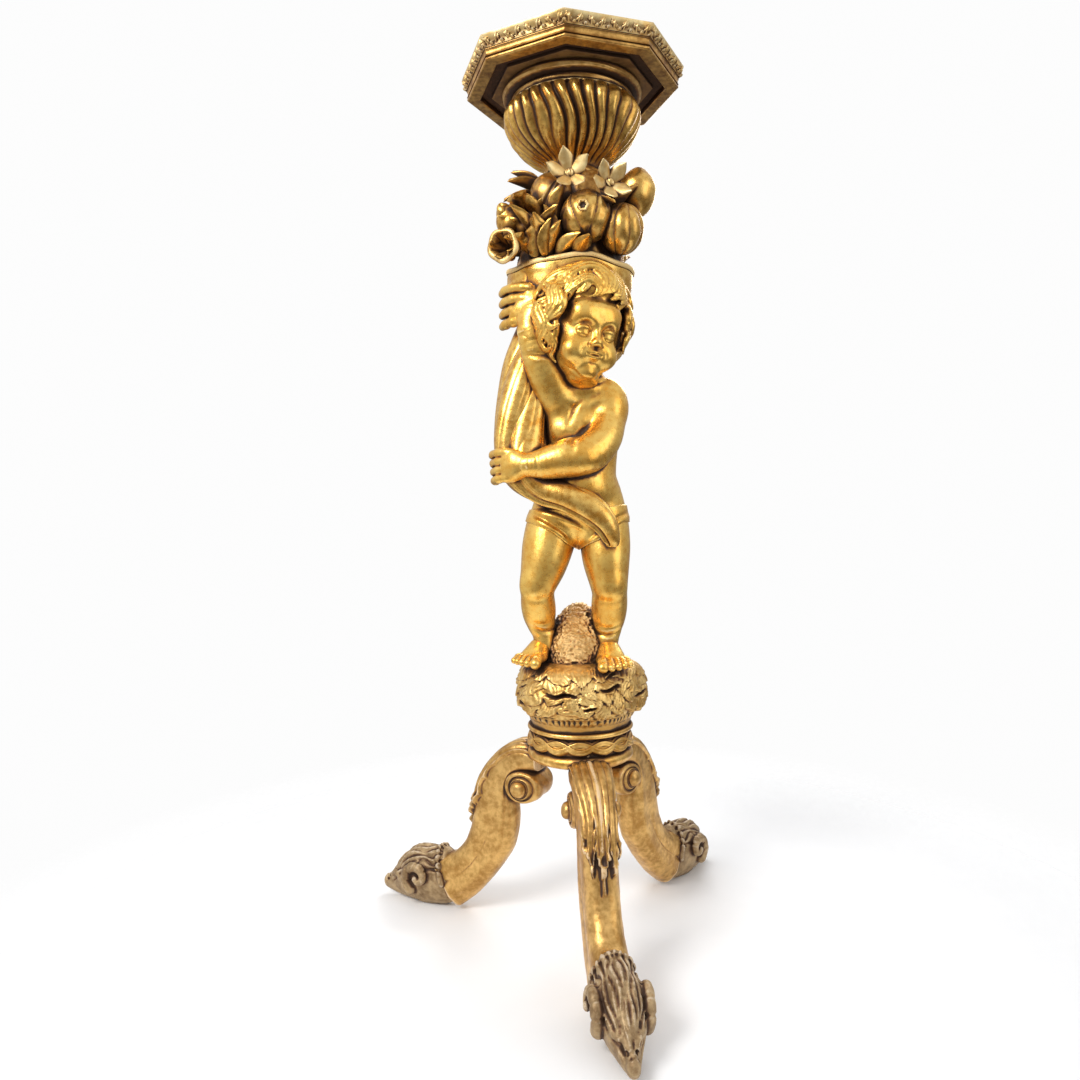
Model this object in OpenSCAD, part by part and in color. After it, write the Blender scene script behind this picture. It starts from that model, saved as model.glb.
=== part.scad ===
// Carved and gilded torchere: a putto holding a cornucopia carries an octagonal candle top,
// and stands on a rock, a turned drum and three scroll legs.
// Origin on the column's axis at floor level, +Z up, the figure faces -Y. Millimetres.

/* [Tripod] */
// Height of the drum's underside above the floor
drum_z = 251; // [235:1:270]
// Distance from the axis to the tip of a foot
leg_spread = 333; // [310:1:355]
// Width of a leg at its knee
leg_w = 47; // [42:1:52]
// Width across the two eyes of a scroll
scroll_w = 82; // [74:1:90]
// Radius of a scroll's eye
scroll_eye_r = 14; // [11:1:16]
// Width of a foot across its side curls
foot_w = 84; // [76:1:90]
// Thickness of the leaf carved on a knee
knee_leaf_t = 5; // [4:0.5:7]
// Width of the leaf carved on a knee
knee_leaf_w = 50; // [44:1:54]
// Direction of the front leg, from the front towards the right
front_leg_turn = 9; // [0:1:15]
// Direction of the right leg, from the front towards the right
right_leg_turn = 140; // [130:1:148]
// Direction of the left leg, from the front towards the right
left_leg_turn = -111; // [-118:1:-105]
// Diameter of the dowel that holds a leg to the drum
leg_dowel_d = 12; // [10:1:14]
// Length of the dowel that holds a leg to the drum
leg_dowel_l = 44; // [36:1:50]

/* [Drum] */
// Radius of the drum over its beads
drum_r = 74.5; // [70:0.5:80]
// Height of the bead round the drum's foot
lower_bead_h = 17; // [14:1:20]
// Height of the plaited band
braid_h = 25; // [20:1:30]
// Height of the bead round the drum's top
upper_bead_h = 7; // [5:1:9]
// Depth of the groove that holds the plaited band
braid_groove = 8; // [6:0.5:10]
// Number of crossings in the plaited band
braid_count = 14; // [10:1:18]
// Diameter of the centre dowels
dowel_d = 30; // [24:1:36]

/* [Rock] */
// Height of the rock from the drum to the figure's soles
rock_h = 92; // [84:1:100]
// Greatest half width of the rock
rock_r = 87; // [83:1:91]
// Height of the stump behind the figure's feet, above the soles
stump_h = 64; // [54:1:74]
// Radius of the stump at its foot
stump_r = 46; // [42:1:50]

/* [Figure] */
// Height of the ankles above the soles
ankle_h = 40; // [36:1:44]
// Length of a shank, from ankle to knee
shank_l = 60; // [55:1:65]
// Length of a thigh, from knee to hip
thigh_l = 105; // [97:1:113]
// Length of the trunk, from hips to shoulders
trunk_l = 141; // [132:1:150]
// Length of the neck, from shoulders to chin
neck_l = 24; // [21:1:27]
// Height of the head, from chin to crown
head_l = 156; // [146:1:166]
// Half width of the hips
hip_r = 62; // [58:1:66]
// Half width of the waist
waist_r = 51; // [48:1:54]
// Half width of the chest
chest_r = 53; // [50:1:56]
// Radius of a thigh
thigh_r = 33; // [30:1:36]
// Radius of a knee
knee_r = 23; // [21:1:25]
// Radius of a calf
calf_r = 24; // [22:1:26]
// Radius of an ankle
ankle_r = 16; // [14:1:18]
// Radius of an upper arm
upper_arm_r = 23; // [21:1:25]
// Radius of a forearm
forearm_r = 22; // [20:1:24]
// Radius of a wrist
wrist_r = 15; // [13:1:17]
// Radius of a finger
finger_r = 6.5; // [5.5:0.5:7.5]
// Half width of the head without its hair
head_r = 47; // [44:1:50]
// Turn of the head towards the right
head_turn = 26; // [15:1:35]
// Thickness of the cloth round the hips
cloth_t = 4; // [3:0.5:6]

/* [Cornucopia] */
// Rise from the figure's crown to the horn's rim
rim_rise = 12; // [9:1:15]
// Half width of the horn at its mouth
mouth_r = 87; // [83:1:90]
// Half depth of the horn at its mouth
mouth_depth_r = 68; // [64:1:72]
// Radius of the horn where the left hand holds it
horn_r = 37; // [34:1:40]
// Radius of the curled tail of the horn
tail_r = 19; // [17:1:21]
// Depth of the hollow in the mouth
mouth_hollow = 30; // [24:1:36]
// Thickness of the horn's lip
lip_t = 8; // [6:1:10]
// Number of grooves along the horn
horn_grooves = 9; // [8:1:12]

/* [Fruit and flowers] */
// Height from the horn's rim to the foot of the bulb
cluster_h = 133; // [127:1:139]
// Radius of the pomegranate
pomegranate_r = 34; // [31:1:36]
// Radius of the melon
melon_r = 30; // [27:1:32]
// Radius of the pear
pear_r = 27; // [24:1:29]
// Radius of the apple
apple_r = 29; // [26:1:31]
// Radius of the peach
peach_r = 30; // [27:1:32]
// Radius of the quince
quince_r = 31; // [28:1:33]
// Radius of a star flower
flower_r = 27; // [24:1:30]
// Length of a leaf
leaf_l = 52; // [46:1:58]
// Width of a leaf
leaf_w = 24; // [20:1:28]
// Thickness of leaves and petals
leaf_t = 5; // [4:0.5:6]

/* [Bulb and top] */
// Radius of the fluted bulb
bulb_r = 95; // [91:1:99]
// Height of the fluted bulb
bulb_h = 87; // [82:1:92]
// Radius of the bulb's foot
bulb_foot_r = 35; // [32:1:38]
// Number of flutes round the bulb
flute_count = 24; // [20:1:28]
// Depth of a flute
flute_depth = 5; // [3:0.5:6]
// Height of the collar above the bulb
collar_h = 21; // [18:1:24]
// Radius of the collar
collar_r = 96; // [93:1:99]
// Distance across the corners of the octagonal top
top_d = 308; // [300:1:316]
// Height of the leaf moulding round the top
moulding_h = 15; // [13:1:17]
// Width of the leaf moulding, seen from above
moulding_w = 14; // [12:1:16]
// Number of leaves along one length of the moulding
moulding_leaves = 4; // [3:1:5]
// Height of the rails under the moulding
rail_h = 15; // [13:1:18]
// Width of a rail, seen from below
rail_w = 18; // [15:1:21]
// Thickness of the board inside the rails
soffit_t = 8; // [6:1:10]
// Distance across the corners of the pad round the collar
pad_d = 222; // [214:1:230]
// Thickness of the pad round the collar
pad_t = 5; // [4:1:6]
// Turn of the octagon, which puts a corner at the front
top_turn = 3; // [0:1:8]

/* [Hidden] */
// Clearance round a dowel and round a let-in board
fit_gap = 0.3;
// How far the stump runs on into the rock that cuts it
run_in = 12;
SIDES = ["front", "right", "left"];

// Heights of the figure's landmarks above the soles
knee_h = ankle_h + shank_l;
hip_h = knee_h + thigh_l;
shoulder_h = hip_h + trunk_l;
chin_h = shoulder_h + neck_l;
rim_h = chin_h + head_l + rim_rise;

// Levels of the column, from the floor up
braid_z = drum_z + lower_bead_h;
drum_top = braid_z + braid_h + upper_bead_h;
sole_z = drum_top + rock_h;
rim_z = sole_z + rim_h;
bulb_z = rim_z + cluster_h;
collar_z = bulb_z + bulb_h;
pad_z = collar_z + collar_h;
soffit_z = pad_z + pad_t;
rail_z = soffit_z + soffit_t - rail_h;
board_z = soffit_z + soffit_t;
board_t = moulding_h + 1;
top_r = top_d / 2;
// Ends of the dowels on the column's axis
base_dowel_z = [braid_z, drum_top + rock_h / 3];
bulb_dowel_z = [bulb_z - 30, bulb_z + 30];
top_dowel_z = [collar_z - 35, board_z + board_t / 2];
legs_turn = [front_leg_turn, right_leg_turn, left_leg_turn];

// Colours of the gilding
bright = "gold";
rich = "goldenrod";
brown = "peru";
pale = "khaki";
dark = "sienna";
bare_wood = "tan";

// ---------- Curves, skins and cuts ----------

function unit(v) = v / norm(v);
function xyz(k) = [k[0], k[1], k[2]];

// One step of a Catmull-Rom curve between b and c
function between(a, b, c, d, t) =
  b + 0.5 * t * ((c - a) + t * ((2 * a - 5 * b + 4 * c - d) + t * (3 * (b - c) + d - a)));

// Smooth run through knots, n steps from each to the next
function smooth(k, n) = let (last = len(k) - 1) [
  for (i = [0:last - 1]) for (j = [0:n - 1])
    between(k[max(i - 1, 0)], k[i], k[i + 1], k[min(i + 2, last)], j / n),
  k[last]];

// Rings round a path of knots [x, y, z, half width, half depth]; face is the way depth points
function rings(k, sides, face = [0, 1, 0], ridges = 0, ridge = 0, twist = 0) = [
  for (i = [0:len(k) - 1])
    let (
      way = unit(xyz(k[min(i + 1, len(k) - 1)]) - xyz(k[max(i - 1, 0)])),
      across = unit(cross(face, way)),
      deep = cross(way, across))
    [for (s = [0:sides - 1])
      let (a = 360 * s / sides, swell = 1 + ridge * cos(ridges * a + twist * i))
      xyz(k[i]) + across * k[i][3] * swell * cos(a) + deep * k[i][4] * swell * sin(a)]];

// Closed skin over rings of equal length
module skin(r) {
  n = len(r[0]);
  m = len(r);
  polyhedron(
    points = [for (ring = r) each ring],
    faces = concat(
      [[for (i = [0:n - 1]) i]],
      [for (k = [0:m - 2]) for (i = [0:n - 1])
        let (a = k * n + i, b = k * n + (i + 1) % n)
        each [[a, b + n, b], [a, a + n, b + n]]],
      [[for (i = [n - 1:-1:0]) (m - 1) * n + i]]),
    convexity = 8);
}

// A limb, horn or trunk along its knots
module limb(k, sides = 12, n = 1, face = [0, 1, 0]) {
  skin(rings(smooth(k, n), sides, face));
}

// An egg of three half sizes
module egg(at, r, fn = 12) {
  translate(at) scale(r) sphere(1, $fn = fn);
}

// One carved block: what is inside runs together in one skin
module carved() {
  resize([0, 0, 0]) union() children();
}

// Turns a leg's own frame, which points along +X, to its direction from the front
module leg_turned(i) {
  rotate([0, 0, legs_turn[i] - 90]) children();
}

// ---------- Tripod ----------

// Place on the leg's side view: percent of the reach past the drum and of the drum's height
function side(r, z) = [drum_r + (leg_spread - drum_r) * r / 100, drum_z * z / 100];

// Stations down the leg: outer place, inner place and width as a share of the knee's
LEG_STATIONS = [
  [-8, 107, -8, 90, 1.14], [4, 106.5, 4, 90, 1.14], [14, 102, 9, 84, 1.1], [23, 94, 11, 77, 1.04],
  [30, 84, 10.5, 70, 1], [34.5, 71, 9.5, 59, 1], [38, 54, 12, 43, 1],
  [43.5, 41.5, 19, 31, 1], [50.5, 34, 27, 20.5, 1.02], [57, 32.5, 36, 10.5, 1.04],
  [64, 31, 45.5, 0.5, 1.06], [70, 26, 57, -3, 1.06]];

function leg_knot(s) = let (o = side(s[0], s[1]), i = side(s[2], s[3])) [o[0], o[1], i[0], i[1], s[4] * leg_w / 2];

// Squared oval between the outer and the inner place, across the leg's width
function leg_ring(k, sides) = [
  for (s = [0:sides - 1])
    let (
      a = 360 * s / sides,
      c = pow(abs(cos(a)), 0.7) * sign(cos(a)),
      w = -pow(abs(sin(a)), 0.7) * sign(sin(a)),
      mid = [k[0] + k[2], k[1] + k[3]] / 2,
      out = [k[0] - k[2], k[1] - k[3]] / 2)
    [mid[0] + out[0] * c, k[4] * w, mid[1] + out[1] * c]];

module leg_form() {
  eye = side(3.5, 81);
  intersection() {
    union() {
      skin([for (s = LEG_STATIONS) leg_ring(leg_knot(s), 8)]);
      // the scroll, rolled under the knee
      translate([eye[0] - 4, 0, eye[1] + 2])
        rotate([90, 0, 0])
          scale([30, 24, 1])
            cylinder(r = 1, h = leg_w * 1.14, center = true, $fn = 13);
      translate([eye[0], 0, eye[1]])
        rotate([90, 0, 0])
          cylinder(r = scroll_eye_r, h = scroll_w - 8, center = true, $fn = 8);
      for (m = [-1, 1])
        egg([eye[0], m * (scroll_w / 2 - 5), eye[1]], [scroll_eye_r - 1, 5, scroll_eye_r - 1], 6);
    }
    translate([0, -scroll_w, 0]) cube([leg_spread * 1.2, 2 * scroll_w, drum_z * 1.2]);
  }
}

// The whorl that ends a leg
FOOT_STATIONS = [
  [51, 20, 15, 0.5], [57, 17.5, 18.5, 0.66], [65, 16.5, 18, 0.74], [74, 14.5, 16.5, 0.76],
  [82, 12, 13, 0.62], [90, 9.5, 9.5, 0.42], [96, 8, 5, 0.24], [100, 7, 2, 0.1]];

module foot_form() {
  curl = side(72, 18);
  intersection() {
    union() {
      skin(rings(
        smooth([for (s = FOOT_STATIONS)
          let (c = side(s[0], s[1]))
          [c[0], 0, c[1], s[3] * foot_w / 2, s[2] / 100 * drum_z]], 1),
        10, [0, 0, 1], 5, 0.04));
      // side curls
      for (m = [-1, 1])
        egg([curl[0], m * (foot_w / 2 - 11), curl[1]], [23, 11, 23], 7);
    }
    translate([0, -foot_w, 0]) cube([leg_spread * 1.2, 2 * foot_w, drum_z]);
  }
}

// Acanthus leaf laid over the knee, with three tips
module knee_leaf_form() {
  spine = [for (s = [2:7]) leg_knot(LEG_STATIONS[s])];
  n = len(spine);
  intersection() {
    skin([for (i = [0:n - 1])
      let (
        k = spine[i],
        out = unit([k[0] - k[2], k[1] - k[3]]),
        swell = 1 + 0.1 * (i % 2))
      [for (s = [0:7])
        let (
          a = 360 * s / 8,
          d = knee_leaf_t * (cos(a) > 0 ? 1 : -2) * abs(cos(a)) + knee_leaf_t * 0.25 * cos(4 * a))
        [k[0] + out[0] * d, -knee_leaf_w / 2 * swell * sin(a), k[1] + out[1] * d]]]);
    // the lobed outline of the leaf, seen from the front of the leg
    rotate([90, 0, 90])
      linear_extrude(leg_spread)
        polygon([
          [-knee_leaf_w / 2, drum_z * 1.1], [-knee_leaf_w / 2, drum_z * 0.66], [-knee_leaf_w * 0.4, drum_z * 0.6],
          [-knee_leaf_w * 0.42, drum_z * 0.52], [-knee_leaf_w * 0.26, drum_z * 0.56],
          [-knee_leaf_w * 0.16, drum_z * 0.48], [0, drum_z * 0.44], [knee_leaf_w * 0.16, drum_z * 0.48],
          [knee_leaf_w * 0.26, drum_z * 0.56], [knee_leaf_w * 0.42, drum_z * 0.52],
          [knee_leaf_w * 0.4, drum_z * 0.6], [knee_leaf_w / 2, drum_z * 0.66], [knee_leaf_w / 2, drum_z * 1.1]]);
  }
}

// Upright dowel from the drum's underside down into the top of the leg
module leg_dowel_shape(d, extra) {
  translate([drum_r - leg_dowel_d - 2, 0, drum_z - leg_dowel_l / 2 - extra])
    cylinder(d = d, h = leg_dowel_l + 2 * extra, $fn = 24);
}

// Room that the drum takes at the top of a leg
module drum_room() {
  translate([0, 0, drum_z]) cylinder(r = drum_r + fit_gap, h = drum_z, $fn = 64);
}

module leg(i) {
  color(brown) leg_turned(i) difference() {
    carved() difference() {
      leg_form();
      foot_form();
      drum_room();
    }
    leg_dowel_shape(leg_dowel_d + 2 * fit_gap, fit_gap);
  }
}

module knee_leaf(i) {
  color(brown) leg_turned(i) carved() difference() {
    knee_leaf_form();
    leg_form();
    drum_room();
  }
}

module foot(i) {
  color(dark) leg_turned(i) carved() foot_form();
}

module leg_dowel(i) {
  color(bare_wood) leg_turned(i) leg_dowel_shape(leg_dowel_d, 0);
}

// ---------- Drum ----------

module drum_form() {
  translate([0, 0, drum_z]) rotate_extrude($fn = 64) difference() {
    union() {
      square([drum_r - lower_bead_h / 4, lower_bead_h + braid_h + upper_bead_h]);
      translate([drum_r - lower_bead_h / 2, lower_bead_h / 2]) circle(d = lower_bead_h, $fn = 32);
      translate([drum_r - upper_bead_h / 2, lower_bead_h + braid_h + upper_bead_h / 2])
        circle(d = upper_bead_h, $fn = 32);
    }
    translate([drum_r - braid_groove, lower_bead_h]) square([braid_groove + 1, braid_h]);
  }
}

module drum() {
  color(brown) difference() {
    drum_form();
    for (i = [0:2])
      leg_turned(i) leg_dowel_shape(leg_dowel_d + 2 * fit_gap, fit_gap);
    centre_dowel(base_dowel_z[0], base_dowel_z[1], fit_gap);
  }
}

// Radius of the plaited band at an angle and at a share of its height: two strands that cross
function plait_r(a, v) =
  let (
    wave = 0.24 * sin(a * braid_count / 2),
    over = 0.5 + 0.5 * cos(a * braid_count),
    strand = function (at, lift) lift * sqrt(max(0, 1 - pow((v - at) / 0.3, 2))))
  drum_r - braid_groove / 2 + braid_groove * 0.42 * max(strand(0.5 + wave, 0.7 + 0.3 * over),
    strand(0.5 - wave, 1 - 0.3 * over));

module braid_band() {
  columns = braid_count * 3;
  rows = 4;
  per = rows + 2;
  inner_r = (drum_r - braid_groove + fit_gap) / cos(180 / columns);
  points = [for (c = [0:columns - 1]) let (a = 360 * c / columns) each concat(
    [for (z = [braid_h, 0]) [inner_r * cos(a), inner_r * sin(a), braid_z + z]],
    [for (r = [0:rows - 1]) let (v = r / (rows - 1), d = plait_r(a, v))
      [d * cos(a), d * sin(a), braid_z + braid_h * v]])];
  color(rich) polyhedron(
    points = points,
    faces = [for (c = [0:columns - 1]) for (i = [0:per - 1])
      let (a = c * per + i, b = c * per + (i + 1) % per, next = ((c + 1) % columns) * per)
      each [[a, b, next + (i + 1) % per], [a, next + (i + 1) % per, next + i]]],
    convexity = 8);
}

// Upright dowel on the column's axis
module centre_dowel(from, to, extra = 0) {
  translate([0, 0, from - extra]) cylinder(d = dowel_d + 2 * extra, h = to - from + 2 * extra, $fn = 32);
}

module base_dowel() {
  color(bare_wood) centre_dowel(base_dowel_z[0], base_dowel_z[1]);
}

// ---------- Rock ----------

// Share of the rock's height and of its radius, from the drum up: a neck, then an overhanging mass of turf
ROCK_LEVELS = [
  [0, 0.83], [14, 0.86], [22, 0.88], [25, 0.96], [40, 1], [58, 1], [74, 0.97], [86, 0.89], [95, 0.72], [100, 0.42]];

function rock_swell(a, level) =
  1 + 0.035 * sin(3 * a + 40) + 0.02 * sin(5 * a + 15 * level)
  + (level > 2 && level < 8 ? 0.022 * cos(12 * a) : 0);

module rock_form() {
  skin([for (l = [0:len(ROCK_LEVELS) - 1])
    let (r = rock_r * ROCK_LEVELS[l][1], z = drum_top + rock_h * ROCK_LEVELS[l][0] / 100)
    [for (s = [0:23]) let (a = 360 * s / 24, d = r * (l == 0 ? 1 : rock_swell(a, l)))
      [d * cos(a), d * sin(a), z]]]);
}

module rock() {
  color(rich) difference() {
    rock_form();
    centre_dowel(base_dowel_z[0], base_dowel_z[1], fit_gap);
  }
}

module stump_form() {
  level = function (share, x, y, wide, deep) [x, y, sole_z + stump_h * share, stump_r * wide, stump_r * deep];
  limb([
    [-3, 4, sole_z - run_in, stump_r * 1.05, stump_r * 1.15], level(0.12, -3, 6, 1.02, 1.1),
    level(0.4, -2, 15, 0.88, 0.86), level(0.72, 0, 23, 0.64, 0.6), level(0.92, 3, 28, 0.4, 0.36),
    level(1, 4, 30, 0.14, 0.14)], 10, 1);
}

module stump() {
  color(dark) carved() difference() {
    stump_form();
    rock_form();
    right_leg_form();
    left_leg_form();
    right_foot_form();
    left_foot_form();
  }
}

// ---------- Putto ----------

// Place in the figure: across, depth and height above the soles
function at(x, y, h) = [x, y, sole_z + h];
function knot(x, y, h, r, d) = [x, y, sole_z + h, r, d];
// Height at a share of the way from one landmark up to the next
function part_way(low, high, share) = low + (high - low) * share;

module foot_shape(heel, toes, lift) {
  way = unit([toes[0] - heel[0], toes[1] - heel[1], 0]);
  side = [-way[1], way[0], 0];
  along = function (t) [heel[0] + (toes[0] - heel[0]) * t, heel[1] + (toes[1] - heel[1]) * t];
  station = function (t, h, w, d) let (p = along(t)) knot(p[0], p[1], h + lift * t, w, d);
  skin(rings(smooth([
    station(-0.14, 11, 9, 8), station(0, 13, 14, 15), station(0.3, 16, 15, 16),
    station(0.65, 10, 18, 11), station(0.96, 6, 18, 7)], 1), 7, [0, 0, 1]));
  // five toes, the great toe towards the middle of the stand
  for (i = [0:4]) {
    p = along(1.02 - 0.05 * abs(i - 1));
    inward = side[0] * heel[0] > 0 ? -1 : 1;
    egg(at(p[0] + side[0] * inward * (14 - 7.2 * i), p[1] + side[1] * inward * (14 - 7.2 * i), 5 + lift),
      [i == 0 ? 6.5 : 4.5, i == 0 ? 9 : 8, i == 0 ? 6 : 4.6], 5);
  }
}

module right_leg_form(grow = 0) {
  limb([
    knot(-24, -10, hip_h + 4, thigh_r + grow, thigh_r + 3 + grow),
    knot(-34, -15, part_way(knee_h, hip_h, 0.82), thigh_r + 1 + grow, thigh_r + 3 + grow),
    knot(-46, -24, part_way(knee_h, hip_h, 0.45), thigh_r - 2.5 + grow, thigh_r + 1 + grow),
    knot(-57.5, -31, knee_h, knee_r, knee_r + 4),
    knot(-59.5, -26, part_way(ankle_h, knee_h, 0.74), knee_r - 1, knee_r + 1),
    knot(-59, -17, part_way(ankle_h, knee_h, 0.4), calf_r - 1.5, calf_r),
    knot(-53, -14, ankle_h, ankle_r, ankle_r + 2),
    knot(-46, -12, ankle_h * 0.2, ankle_r - 2, ankle_r + 2)], 9);
}

module left_leg_form(grow = 0) {
  limb([
    knot(32, -8, hip_h + 4, thigh_r + grow, thigh_r + 3 + grow),
    knot(36, -11, part_way(knee_h, hip_h, 0.82), thigh_r + 1 + grow, thigh_r + 3 + grow),
    knot(39.5, -19, part_way(knee_h, hip_h, 0.45), thigh_r - 2 + grow, thigh_r + 2 + grow),
    knot(41, -25, knee_h - 4, knee_r + 1, knee_r + 4),
    knot(41.5, -21, part_way(ankle_h, knee_h, 0.72), knee_r, knee_r + 2),
    knot(42, -14, part_way(ankle_h, knee_h, 0.4), calf_r + 0.5, calf_r + 1),
    knot(37, -14, ankle_h - 3, ankle_r + 2, ankle_r + 2),
    knot(36, -12, ankle_h * 0.2, ankle_r - 2, ankle_r + 2)], 9);
}

module right_foot_form() foot_shape([-45, -3], [-71, -50], -2);
module left_foot_form() foot_shape([36, -1], [46, -66], -6);

module putto_right_leg() {
  color(bright) carved() difference() {
    union() {
      right_leg_form();
      right_foot_form();
    }
    rock_form();
    trunk_form();
  }
}

module putto_left_leg() {
  color(bright) carved() difference() {
    union() {
      left_leg_form();
      left_foot_form();
    }
    rock_form();
    trunk_form();
  }
}

module torso_form(grow = 0) {
  limb([
    knot(2, -12, hip_h - 51, 30 + grow, 26 + grow), knot(2, -11, hip_h - 38, 50 + grow, 37 + grow),
    knot(2.5, -10, hip_h - 10, hip_r + grow, 43 + grow), knot(3, -12, hip_h + 12, hip_r - 3 + grow, 44 + grow),
    knot(4, -18, part_way(hip_h, shoulder_h, 0.36), waist_r + 1, 45),
    knot(6, -20, part_way(hip_h, shoulder_h, 0.56), waist_r, 42),
    knot(9, -21, part_way(hip_h, shoulder_h, 0.76), chest_r, 40),
    knot(12, -22, shoulder_h - 8, chest_r - 5, 33), knot(14, -26, shoulder_h + 10, 29, 26),
    knot(14, -36, chin_h + 10, 23, 23)], 10);
}

module trunk_form() {
  torso_form();
  // breast muscles and belly
  for (m = [-1, 1]) egg(at(10 + 20 * m, -44, shoulder_h - 34), [25, 15, 20], 8);
  egg(at(4, -30, hip_h + 34), [42, 36, 34], 10);
}

module putto_torso() {
  color(bright) carved() trunk_form();
}

// Sizes that the head is drawn at, in its own frame
drawn_head_r = 47;
drawn_head_l = 156;

// The head's own frame: the origin is below the chin, the face looks along -Y
module head_frame() {
  grown = head_r / drawn_head_r;
  translate(at(10, -50, chin_h)) rotate([4, 3, head_turn]) scale([grown, grown, head_l / drawn_head_l]) children();
}

module head_form() {
  head_frame() {
    egg([0, 8, 86], [51, 57, 58], 10);
    egg([0, -8, 52], [44, 44, 48], 10);
    egg([0, -14, 28], [32, 32, 26], 8);
    for (m = [-1, 1]) {
      egg([m * 20, -34, 36], [17, 13, 16], 6);
      egg([m * 16, -42, 72], [14, 8, 5], 5);
      egg([m * 16, -42, 60], [9, 8, 6], 5);
    }
    egg([0, -38, 11], [12, 11, 10], 6);
    egg([0, -53, 48], [7, 8, 7], 6);
    egg([0, -49, 60], [4.5, 6, 14], 5);
    egg([0, -46, 32], [11, 7, 3.5], 5);
    egg([0, -45, 26], [9, 7, 3.5], 5);
  }
}

// Locks: place, three half sizes and lean, in the head's frame
LOCKS = [
  [0, -29, 133, 32, 24, 17, 0], [-38, -22, 118, 24, 22, 20, 30], [38, -22, 118, 24, 22, 20, -30],
  [-55, -2, 86, 17, 24, 26, 0], [55, -2, 86, 17, 24, 26, 0], [-52, 12, 48, 16, 22, 24, 0],
  [53, 12, 48, 16, 22, 24, 0]];

module hair_form() {
  head_frame() for (l = LOCKS)
    translate([l[0], l[1], l[2]]) rotate([0, l[6], 0]) egg([0, 0, 0], [l[3], l[4], l[5]], 6);
}

module putto_head() {
  color(bright) carved() difference() {
    union() {
      head_form();
      hair_form();
    }
    trunk_form();
    horn_form();
  }
}

// Heights along the raised arm and along the bent one, as shares between landmarks
function raised(share) = part_way(shoulder_h, rim_h, share);
function bent(share) = part_way(hip_h, shoulder_h, share);

module right_arm_form() {
  limb([
    knot(-14, -26, bent(0.887), upper_arm_r + 3, upper_arm_r), knot(-27, -36, raised(0.02), upper_arm_r + 2, upper_arm_r),
    knot(-37, -46, raised(0.2), upper_arm_r, upper_arm_r - 2), knot(-42, -53, raised(0.36), forearm_r - 2, forearm_r - 3),
    knot(-46, -60, raised(0.51), wrist_r + 1, wrist_r), knot(-58, -62, raised(0.61), wrist_r + 4, wrist_r - 2),
    knot(-72, -54, raised(0.66), wrist_r + 6, wrist_r - 4), knot(-80, -46, raised(0.68), wrist_r + 3, wrist_r - 6)], 8);
  // four fingers laid round the horn
  for (i = [0:3])
    limb([
      knot(-68, -60, raised(0.56 + 0.065 * i), finger_r, finger_r),
      knot(-89, -44, raised(0.57 + 0.065 * i), finger_r, finger_r),
      knot(-99, -22, raised(0.57 + 0.065 * i), finger_r - 2, finger_r - 2)], 5, 1, [0, 0, 1]);
}

module left_arm_form() {
  limb([
    knot(38, -22, bent(1.043), upper_arm_r - 3, upper_arm_r - 1), knot(49, -28, bent(0.96), upper_arm_r + 2, upper_arm_r + 2),
    knot(50, -40, bent(0.76), upper_arm_r, upper_arm_r + 1), knot(42, -54, bent(0.59), upper_arm_r + 1, upper_arm_r),
    knot(22, -66, bent(0.475), forearm_r + 3, forearm_r), knot(-8, -72, bent(0.505), forearm_r + 2, forearm_r),
    knot(-38, -74, bent(0.49), forearm_r - 3, forearm_r - 4), knot(-62, -72, bent(0.447), wrist_r, wrist_r - 1),
    knot(-80, -66, bent(0.418), wrist_r + 4, wrist_r - 4), knot(-92, -58, bent(0.404), wrist_r + 2, wrist_r - 6)], 8);
  // four fingers laid round the horn
  for (i = [0:3])
    limb([
      knot(-84, -66, bent(0.532 - 0.078 * i), finger_r, finger_r),
      knot(-98, -58, bent(0.539 - 0.082 * i), finger_r, finger_r),
      knot(-109, -46, bent(0.532 - 0.085 * i), finger_r - 0.5, finger_r),
      knot(-113 + 2 * i, -32, bent(0.518 - 0.085 * i), finger_r - 2, finger_r - 2)], 5, 1, [0, 0, 1]);
}

module putto_right_arm() {
  color(bright) carved() difference() {
    right_arm_form();
    trunk_form();
    horn_form();
    head_form();
    hair_form();
  }
}

module putto_left_arm() {
  color(bright) carved() difference() {
    left_arm_form();
    trunk_form();
    horn_form();
  }
}

// A short cloth wrapped round the hips, whose hem rises from the middle to the sides
module loin_cloth() {
  cut_w = 3 * hip_r;
  color(rich) carved() difference() {
    intersection() {
      union() {
        torso_form(cloth_t);
        right_leg_form(cloth_t);
        left_leg_form(cloth_t);
      }
      translate([0, cut_w, sole_z]) rotate([90, 0, 0]) linear_extrude(2 * cut_w) polygon([
        [-cut_w, hip_h - 20], [-hip_r, hip_h - 26], [2, hip_h - 54], [hip_r, hip_h - 28],
        [cut_w, hip_h - 20], [cut_w, hip_h + 12], [-cut_w, hip_h + 8]]);
    }
    trunk_form();
    right_leg_form();
    left_leg_form();
    horn_form();
  }
}

// ---------- Cornucopia ----------

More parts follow.
